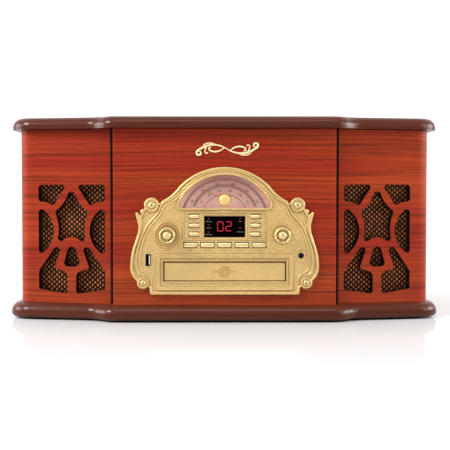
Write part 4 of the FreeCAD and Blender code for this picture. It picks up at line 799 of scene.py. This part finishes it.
def captions():
    """Rows of short dashes where the printed words would be."""
    marks = Piece()

    def row(x, z, words, gap=0.8):
        start = x - (sum(words) + gap * (len(words) - 1)) / 2
        for length in words:
            marks.block((start, -0.32, -0.05), (start + length, 0.32, 0.06), facing(0, z, FACE_Y - 0.03))
            start += length + gap

    for k in range(5):
        row((k - 2) * 19.45, 81.2, (3.0, 2.2) if k % 2 else (4.4,))
    for sign in (-1, 1):
        for k in range(3):
            row(sign * 34.6, 114.4 - 10.0 * k, (2.6, 1.8))
    row(-64.3, 80.6, (3.4, 2.2))
    row(64.3, 80.6, (3.0, 2.8))
    row(86.1, 80.6, (4.2,))
    row(-86.0, 79.0, (2.8,))
    marks.done("fascia_captions", ink_and_recess_shade, slot="gilt_plastic")
    ticks = Piece()
    for k in range(9):
        at = facing(64.3, 98.3) @ Matrix.Rotation(math.radians(-120 + 30 * k), 4, "Z")
        ticks.block((-0.25, 11.6, -0.1), (0.25, 13.4, 0.12), at)
    ticks.done("tuning_marks", ink_and_recess_shade, slot="gilt_plastic")


def tray_emblem():
    """A plain ring-and-ray emblem pressed into the middle of the tray front."""
    low, high = box_mm("tray_front")
    z, face = (low.z + high.z) / 2, low.y
    emblem = Piece()
    emblem.tube(circle(0, z, 5.8, face), 0.6, closed=True, squash=0.8)
    emblem.tube(circle(0, z, 1.9, face), 0.5, closed=True, squash=0.8)
    for k in range(8):
        a = math.radians(45 * k + 22.5)
        inner, outer = 3.0, 4.7
        ray = [front(r * math.cos(a), z + r * math.sin(a), face) for r in (inner, outer)]
        emblem.tube(ray, 0.42, squash=0.8)
    for sign in (-1, 1):
        emblem.tube([front(sign * 8.2, z, face), front(sign * 13.6, z, face)], 0.5, squash=0.8)
    relief = Piece()
    relief.tube(around(low, high, -0.7, face + 0.1, 0.8), 0.45, closed=True)
    relief.done("tray_relief", gold, "tray", "gilt_plastic")
    emblem.done("tray_emblem", gold_deep, "tray", "gilt_plastic")


def sockets():
    """The USB slot with its contact tongue, and the ring round the headphone jack."""
    low, high = box_mm("usb_port")
    x, z = (low.x + high.x) / 2, (low.z + high.z) / 2
    shell = Piece()
    outer = [(p.x, p.z) for p in around(low, high, 0.0, corner=0.8)]
    inner = [(p.x, p.z) for p in around(low, high, -0.5, corner=0.5)]
    count = len(outer)
    points = [(px, low.y, pz) for px, pz in outer] + [(px, low.y, pz) for px, pz in inner]
    points += [(px, low.y + 11.8, pz) for px, pz in inner] + [(px, high.y, pz) for px, pz in outer]
    faces = [tuple(range(2 * count, 3 * count)), tuple(range(3 * count, 4 * count))]
    for k in range(count):
        n = (k + 1) % count
        for a, b in ((0, 1), (1, 2), (3, 0)):
            faces.append((a * count + k, a * count + n, b * count + n, b * count + k))
    shell.add(points, faces)
    # painted shade: the steel shell and its cavity are coloured near black
    shell.done("usb_shell", socket_shade_black, slot="steel", replaces=["usb_port"])
    rings = Piece()
    rings.tube(around(low, high, 0.9, FACE_Y + 0.1, 1.2), 0.6, closed=True)
    jack = middle_mm("headphone_jack")
    rings.tube(circle(jack.x, jack.z, 4.2, FACE_Y + 0.1), 0.7, closed=True)
    rings.done("socket_rings", gold_smooth, slot="gilt_plastic", merge=False)
    tongue = Piece()
    tongue.block((x + 0.45, low.y + 0.9, z - 5.4), (x + 2.0, low.y + 11.9, z + 5.4))
    tongue.done("usb_tongue", white, slot="steel")


# ---------------------------------------------------------------- dial and display
def dial_print():
    """Scale lines, ticks and frequency numbers on the dial card."""
    face = box_mm("dial_scale")[0].y + 2.5 - 0.06
    marks, bands = Piece(), Piece()
    outer, inner = (113.0, 47.6), (116.3, 36.6)
    for (z, radius), span in ((outer, 72), (inner, 68)):
        marks.tube(arc(0, z, radius, 90 - span, 90 + span, face), 0.2, squash=0.3)
        bands.tube(arc(0, z, radius + 1.6, 90 - span, 90 + span, face + 0.02), 1.0, squash=0.04)
    bands.tube(arc(0, 118.0, 26.0, 24, 156, face + 0.02), 0.5, squash=0.04)
    for k in range(41):
        angle = math.radians(90 + 64 * (k / 20 - 1))
        long = 2.2 if k % 5 == 0 else 1.1
        for z, radius in (outer, inner):
            at = facing(0, z, face) @ Matrix.Rotation(angle - math.pi / 2, 4, "Z")
            marks.block((-0.12, radius - long, -0.04), (0.12, radius, 0.05), at)
    for (z, radius), numbers, span in (((113.0, 43.2), ("88", "92", "96", "100", "104", "108"), 58),
                                       ((116.3, 32.0), ("53", "60", "70", "90", "120", "160"), 54)):
        for k, number in enumerate(numbers):
            angle = math.radians(span * (1 - 2 * k / (len(numbers) - 1)))
            at = facing(0, z, face) @ Matrix.Rotation(angle, 4, "Z") @ Matrix.Translation((0, radius, 0))
            marks.text(number, 3.7, at, 0.03)
    marks.done("dial_printing", ink, slot="dial_card", merge=False, sharp=30)
    bands.done("dial_bands", band_ink, slot="dial_card", merge=False, sharp=30)


def pointer():
    """Domed hub with a tapering needle, on the shaft that carries the cord drum."""
    needle = Piece()
    at = facing(0, HUB_Z, PANEL_Y + 3.6)
    needle.lathe([(2.0, 0.0), (7.4, 0.0), (7.6, 0.8), (7.4, 1.6)] +
                 [(r, 1.8 + h) for r, h in dome(6.9, 3.9)], at, 48)
    needle.lathe([(2.0, 0.5), (2.0, -6.3), (24.5, -6.3), (25.0, -6.6), (25.0, -7.3), (24.1, -7.6),
                  (24.1, -9.2), (25.0, -9.5), (25.0, -9.9), (24.5, -10.3), (2.0, -10.3), (2.0, -11.4),
                  (0, -11.4)], at, 64)
    arm = facing(0, HUB_Z, PANEL_Y + 3.1) @ Matrix.Rotation(math.radians(153), 4, "Z")
    outline = [(5.0, -1.3), (24.0, -0.28), (24.6, 0.0), (24.0, 0.28), (5.0, 1.3)]
    needle.slab(outline, 0.0, 0.7, arm)
    needle.done("pointer_needle", gold_pale, "pointer", "brass_metal", ["dial_pointer"])


def seven_segment(piece, digit, x, z, wide, high, stroke, place):
    """One digit of a segment display, its segments pointed at the ends."""
    lit_segments = {"0": "abcdef", "2": "abged"}[digit]
    half = stroke / 2
    w, h = wide / 2 - half, high / 2 - half
    ends = {"a": ((-w, h), (w, h)), "b": ((w, h), (w, 0)), "c": ((w, 0), (w, -h)),
            "d": ((-w, -h), (w, -h)), "e": ((-w, 0), (-w, -h)), "f": ((-w, h), (-w, 0)),
            "g": ((-w, 0), (w, 0))}
    for name in lit_segments:
        a, b = (Vector(p) + Vector((x, z)) for p in ends[name])
        along = (b - a).normalized()
        side = Vector((-along.y, along.x)) * half
        a, b = a + along * 0.25, b - along * 0.25
        outline = [a, a + along * half + side, b - along * half + side, b, b - along * half - side,
                   a + along * half - side]
        piece.slab([tuple(p) for p in outline], 0.0, 0.05, place)


def display():
    """The lit digits and the small lamps and marks beside them."""
    low, high = box_mm("display_module")
    place = facing(0, 0, low.y - 0.02)
    digits, lamps = Piece(), Piece()
    for digit, x in (("0", -4.9), ("2", 4.3)):
        seven_segment(digits, digit, x, 108.1, 6.9, 11.0, 0.8, place)
    for x, z in ((-18.3, 116.2), (-18.3, 109.4), (-18.3, 101.6), (17.4, 116.6), (17.4, 106.0)):
        lamp = [(p.x, p.z) for p in circle(x, z, 0.8, count=8)]
        lamps.slab(lamp, 0.0, 0.05, place)
    digits.done("display_digits", lit, slot="gloss_black", merge=False)
    marks = Piece()
    for x, z, words in ((-18.0, 113.4, (3.2, 2.4)), (-18.0, 106.2, (2.6, 2.2)), (-18.0, 98.8, (3.6, 3.2)),
                        (17.6, 113.6, (3.4,)), (17.6, 101.8, (3.4, 2.6))):
        start = x - sum(words) / 2 - 0.3
        for length in words:
            marks.block((start, z - 0.3, 0.0), (start + length, z + 0.3, 0.05), place)
            start += length + 0.6
    marks.done("display_marks", unlit, slot="gloss_black", merge=False)
    lamps.done("display_lamps", dim, slot="gloss_black", merge=False)


def badge():
    """A gilt calligraphic flourish: two mirrored scrolls with leaves between."""
    low, high = box_mm("badge_scroll")
    x, z = (low.x + high.x) / 2, (low.z + high.z) / 2
    y = high.y - 0.6
    scroll = Piece()

    def stroke(points, thick, turn=1):
        path = smooth([front(x + turn * px, z + turn * pz, y) for px, pz in points], 8)
        scroll.tube(path, lambda t: 1.3 * thick * (0.4 + 0.6 * math.sin(math.pi * t) ** 0.7), sides=8)

    for turn in (1, -1):
        stroke([(0, 0), (7, -3.4), (15, -4.8), (24, -3.4), (31, 0.2), (34.5, 3.4), (33.4, 6.4), (30.2, 6.0),
                (29.8, 3.4), (31.8, 2.6)], 1.05, turn)
        stroke([(3, -1.8), (8, 1.6), (14, 3.0), (19.6, 1.4), (20.6, -1.2), (18.2, -2.0)], 0.8, turn)
        stroke([(12, -4.6), (17, -6.6), (23, -6.4), (27.4, -4.2)], 0.6, turn)
        stroke([(22, -3.8), (24.4, -0.6), (25.2, 3.0), (23.2, 4.8), (21.6, 3.2)], 0.65, turn)
    scroll.done("badge_flourish", gold_cream, slot="brass_metal", replaces=["badge_scroll"], merge=False)


# ---------------------------------------------------------------- under the lid
def platter_details():
    """Ribbed mat and the strobe dots round the platter's rim."""
    low, high = box_mm("slip_mat")
    at = Matrix.Translation((PLATTER_AT.x, PLATTER_AT.y, low.z))
    radius, top = (high.x - low.x) / 2, high.z - low.z
    profile = [(4.1, 0.0), (radius, 0.0), (radius, top - 0.8), (radius - 0.8, top)]
    ring = radius - 4.0
    while ring > 52:
        profile += [(ring + 1.2, top), (ring + 0.8, top - 0.7), (ring - 0.8, top - 0.7), (ring - 1.2, top)]
        ring -= 6.0
    profile += [(50, top), (49, top - 1.0), (12, top - 1.0), (11, top - 0.6), (4.1, top - 0.6), (4.1, 0.0)]
    mat = Piece().lathe(profile, at, 96)
    mat.done("mat_ribbed", rubber, "platter", "rubber_black", ["slip_mat"], sharp=30)
    dots = Piece()
    rim_low, rim_high = box_mm("platter")
    rim = (rim_high.x - rim_low.x) / 2
    for row, z in enumerate((rim_high.z - 2.0, rim_high.z - 4.4)):
        count = 120 - 12 * row
        for k in range(count):
            turn = Matrix.Rotation(2 * math.pi * k / count, 4, "Z")
            place = Matrix.Translation((PLATTER_AT.x, PLATTER_AT.y, z)) @ turn
            dots.block((rim - 0.3, -1.3, -0.7), (rim + 0.15, 1.3, 0.7), place)
    dots.done("strobe_dots", chrome, "platter", "alu", merge=False)


def tonearm_details():
    """Weight collar, dial ring and headshell fittings on the tonearm."""
    low, high = box_mm("arm_tube")
    x = middle_mm("arm_yoke").x
    along = Matrix.Translation((x, 0, ARM_Z)) @ Matrix.Rotation(-math.pi / 2, 4, "X")
    weight = Piece()
    weight.lathe([(radius, high.y + back) for radius, back in (
        (3.1, 0.0), (8.6, 0.01), (9.6, -1.2), (9.6, -13.0), (9.0, -14.0), (9.7, -14.6), (9.7, -18.6),
        (8.4, -20.2), (3.1, -20.4))], along, 48)
    for k in range(40):
        ridge = along @ Matrix.Rotation(2 * math.pi * k / 40, 4, "Z")
        weight.block((9.3, -0.22, high.y - 12.6), (9.85, 0.22, high.y - 1.6), ridge)
    weight.done("counterweight", gloss_black, "tonearm", "gloss_black", merge=False)
    collar = Piece()
    collar.lathe([(3.5, low.y + 1), (4.6, low.y + 1.4), (4.9, low.y + 3), (4.9, low.y + 9), (4.4, low.y + 10),
                  (3.5, low.y + 10.6)], along, 32)
    for share in (0.3, 0.7):
        spot = low.y + 1.4 + share * 9
        collar.lathe([(4.8, spot), (5.15, spot + 0.3), (5.15, spot + 0.9), (4.8, spot + 1.2)], along, 32)
    collar.done("headshell_collar", chrome, "tonearm", "chrome_metal", merge=False)
    shell_low, shell_high = box_mm("headshell")
    grooves = Piece()
    for k in range(3):
        y = shell_low.y + 12 + 5.0 * k
        across = [(x - 3.2, y, shell_high.z), (x + 3.2, y, shell_high.z)]
        grooves.tube(across, 0.5, normal=(0, 0, 1), squash=0.6)
    for offset in (-3.4, 3.4):
        grooves.lathe([(1.5, 0.0), (1.5, 0.6), (0.9, 1.0), (0, 1.1)],
                      Matrix.Translation((x + offset, shell_low.y + 31, shell_high.z)), 16)
    grooves.done("headshell_trim", chrome, "tonearm", "chrome_metal", merge=False)


def deck_details():
    """Raised trim ring round the platter well, screws and marks beside the controls."""
    deck_high = box_mm("deck_plate")[1]
    ring = Piece()
    at = Matrix.Translation((PLATTER_AT.x, PLATTER_AT.y, deck_high.z))
    ring.lathe([(149.0, -0.4), (149.2, 0.5), (150.2, 0.9), (151.6, 0.7), (152.4, -0.2)], at, 128)
    for x, y in ((-205, 145), (205, 145), (-205, -100), (205, -100), (0, 158), (95, -138)):
        at = Matrix.Translation((x, y, deck_high.z))
        ring.lathe([(3.2, 0.0), (3.2, 0.5), (2.4, 1.2), (0, 1.5)], at, 24)
    ring.done("deck_trim", chrome, slot="chrome_metal", merge=False)
    marks = Piece()
    slide = middle_mm("speed_selector")
    for k, number in enumerate(("33", "45", "78")):
        spot = Matrix.Translation((slide.x + 8.0 * k, slide.y + 10.0, deck_high.z + 0.04))
        marks.text(number, 5.0, spot, 0.03)
    for k in range(3):
        marks.block((slide.x + 8.0 * k - 0.2, slide.y + 5.4, deck_high.z - 0.05),
                    (slide.x + 8.0 * k + 0.2, slide.y + 7.2, deck_high.z + 0.06))
    marks.done("speed_marks", white, slot="black_plastic", merge=False)


def rear_details():
    """Coloured rings in the line sockets, inlet pins and the hinge screws."""
    back = box_mm("rear_connectors")[1].y
    for name, look, z in (("line_rings_red", red, 48), ("line_rings_white", white, 66)):
        rings = Piece()
        for x in (72, 92):
            at = Matrix.Translation((x, back - 5.2, z)) @ Matrix.Rotation(-math.pi / 2, 4, "X")
            rings.lathe([(4.25, 0.0), (5.1, 0.0), (5.1, 3.6), (4.25, 3.6), (4.25, 0.0)], at, 32)
        rings.done(name, look, slot="gloss_black", merge=False)
    pins = Piece()
    for x in (140.0, 146.0):
        at = Matrix.Translation((x, back - 12.0, 56)) @ Matrix.Rotation(-math.pi / 2, 4, "X")
        pins.lathe([(0, 0), (1.2, 0.0), (1.2, 7.0), (0.7, 8.0), (0, 8.1)], at, 16)
    pins.done("inlet_pins", chrome, slot="steel")
    for body, node, z in (("cabinet", "hinge_cabinet_leaves", box_mm("hinge_cabinet_leaves")[0].z + 5.0),
                          ("lid", "hinge_lid_leaves", box_mm("hinge_lid_leaves")[1].z - 4.2)):
        heads = Piece()
        for sign in (-1, 1):
            for x in (-13.0, 0.0, 13.0):
                at = Matrix.Translation((sign * 150.0 + x, 175.0, z)) @ Matrix.Rotation(-math.pi / 2, 4, "X")
                heads.lathe([(2.2, 0.0), (2.2, 0.35), (1.6, 0.8), (0, 1.0)], at, 20)
        heads.done(node + "_screws", brass, body, "brass_metal", merge=False)


grille_pieces = (expanded_mesh, speaker_cloth)
front_pieces = (fascia_mouldings, screws, knobs, keys, captions, tray_emblem, sockets, dial_print,
                pointer, display, badge)
inner_pieces = (platter_details, tonearm_details, deck_details, rear_details)
for make in grille_pieces + front_pieces + inner_pieces:
    make()


# ---------------------------------------------------------------- stage
def studio():
    """Pale floor, surroundings that are brighter behind and above, five soft lamps and the camera."""
    scene = bpy.context.scene
    scene.view_settings.view_transform = "Standard"
    world = bpy.data.worlds.new("studio")
    scene.world = world
    world.use_nodes = True
    nodes, links = world.node_tree.nodes, world.node_tree.links
    way = nodes.new("ShaderNodeSeparateXYZ")
    links.new(nodes.new("ShaderNodeTexCoord").outputs["Generated"], way.inputs[0])
    total = nodes.new("ShaderNodeMath")
    total.operation = "ADD"
    glows = (("Y", -0.1, 0.6, 0.34, 1.3), ("Z", 0.25, 0.9, 0.0, 0.35))
    for slot, (axis, low, high, least, most) in enumerate(glows):
        glow = nodes.new("ShaderNodeMapRange")
        links.new(way.outputs[axis], glow.inputs["Value"])
        for socket, value in (("From Min", low), ("From Max", high), ("To Min", least), ("To Max", most)):
            glow.inputs[socket].default_value = value
        links.new(glow.outputs[0], total.inputs[slot])
    links.new(total.outputs[0], nodes["Background"].inputs["Strength"])
    nodes["Background"].inputs["Color"].default_value = (1.0, 1.0, 1.0, 1.0)
    data = bpy.data.meshes.new("floor")
    data.from_pydata([(-30, -30, 0), (30, -30, 0), (30, 30, 0), (-30, 30, 0)], [], [(0, 1, 2, 3)])
    floor = bpy.data.objects.new("floor", data)
    scene.collection.objects.link(floor)
    data.materials.append(speckled("floor_white", grey(0.66), 0.01, 2.0, 0.0, roughness=0.035, ior=1.085))

    def lamp(name, at, target, size, power):
        light = bpy.data.lights.new(name, "AREA")
        light.shape, light.size, light.size_y, light.energy = "RECTANGLE", size[0], size[1], power
        made = bpy.data.objects.new(name, light)
        made.location = at
        made.rotation_euler = (Vector(target) - Vector(at)).to_track_quat("-Z", "Y").to_euler()
        scene.collection.objects.link(made)

    lamp("key_light", (-1.5, -1.05, 1.4), (0, 0, 0.1), (0.6, 0.6), 34)
    lamp("fill_light", (1.5, -0.9, 0.8), (0, 0, 0.1), (0.5, 1.0), 7)
    lamp("left_light", (-1.7, -0.1, 0.6), (0, 0, 0.1), (1.0, 0.6), 16)
    lamp("right_light", (1.7, -0.1, 0.6), (0, 0, 0.1), (1.0, 0.6), 20)
    lamp("front_top_light", (0.0, -0.9, 1.6), (0, -0.1, 0.1), (1.2, 0.5), 5)
    camera = bpy.data.cameras.new("camera")
    camera.lens, camera.sensor_width = 77.6, 36.0
    eye = bpy.data.objects.new("camera", camera)
    eye.location = (-0.0063, -1.2564, 0.1464)
    eye.rotation_euler = (math.pi / 2 - 0.0337, 0, -0.0061)
    scene.collection.objects.link(eye)
    scene.camera = eye


studio()
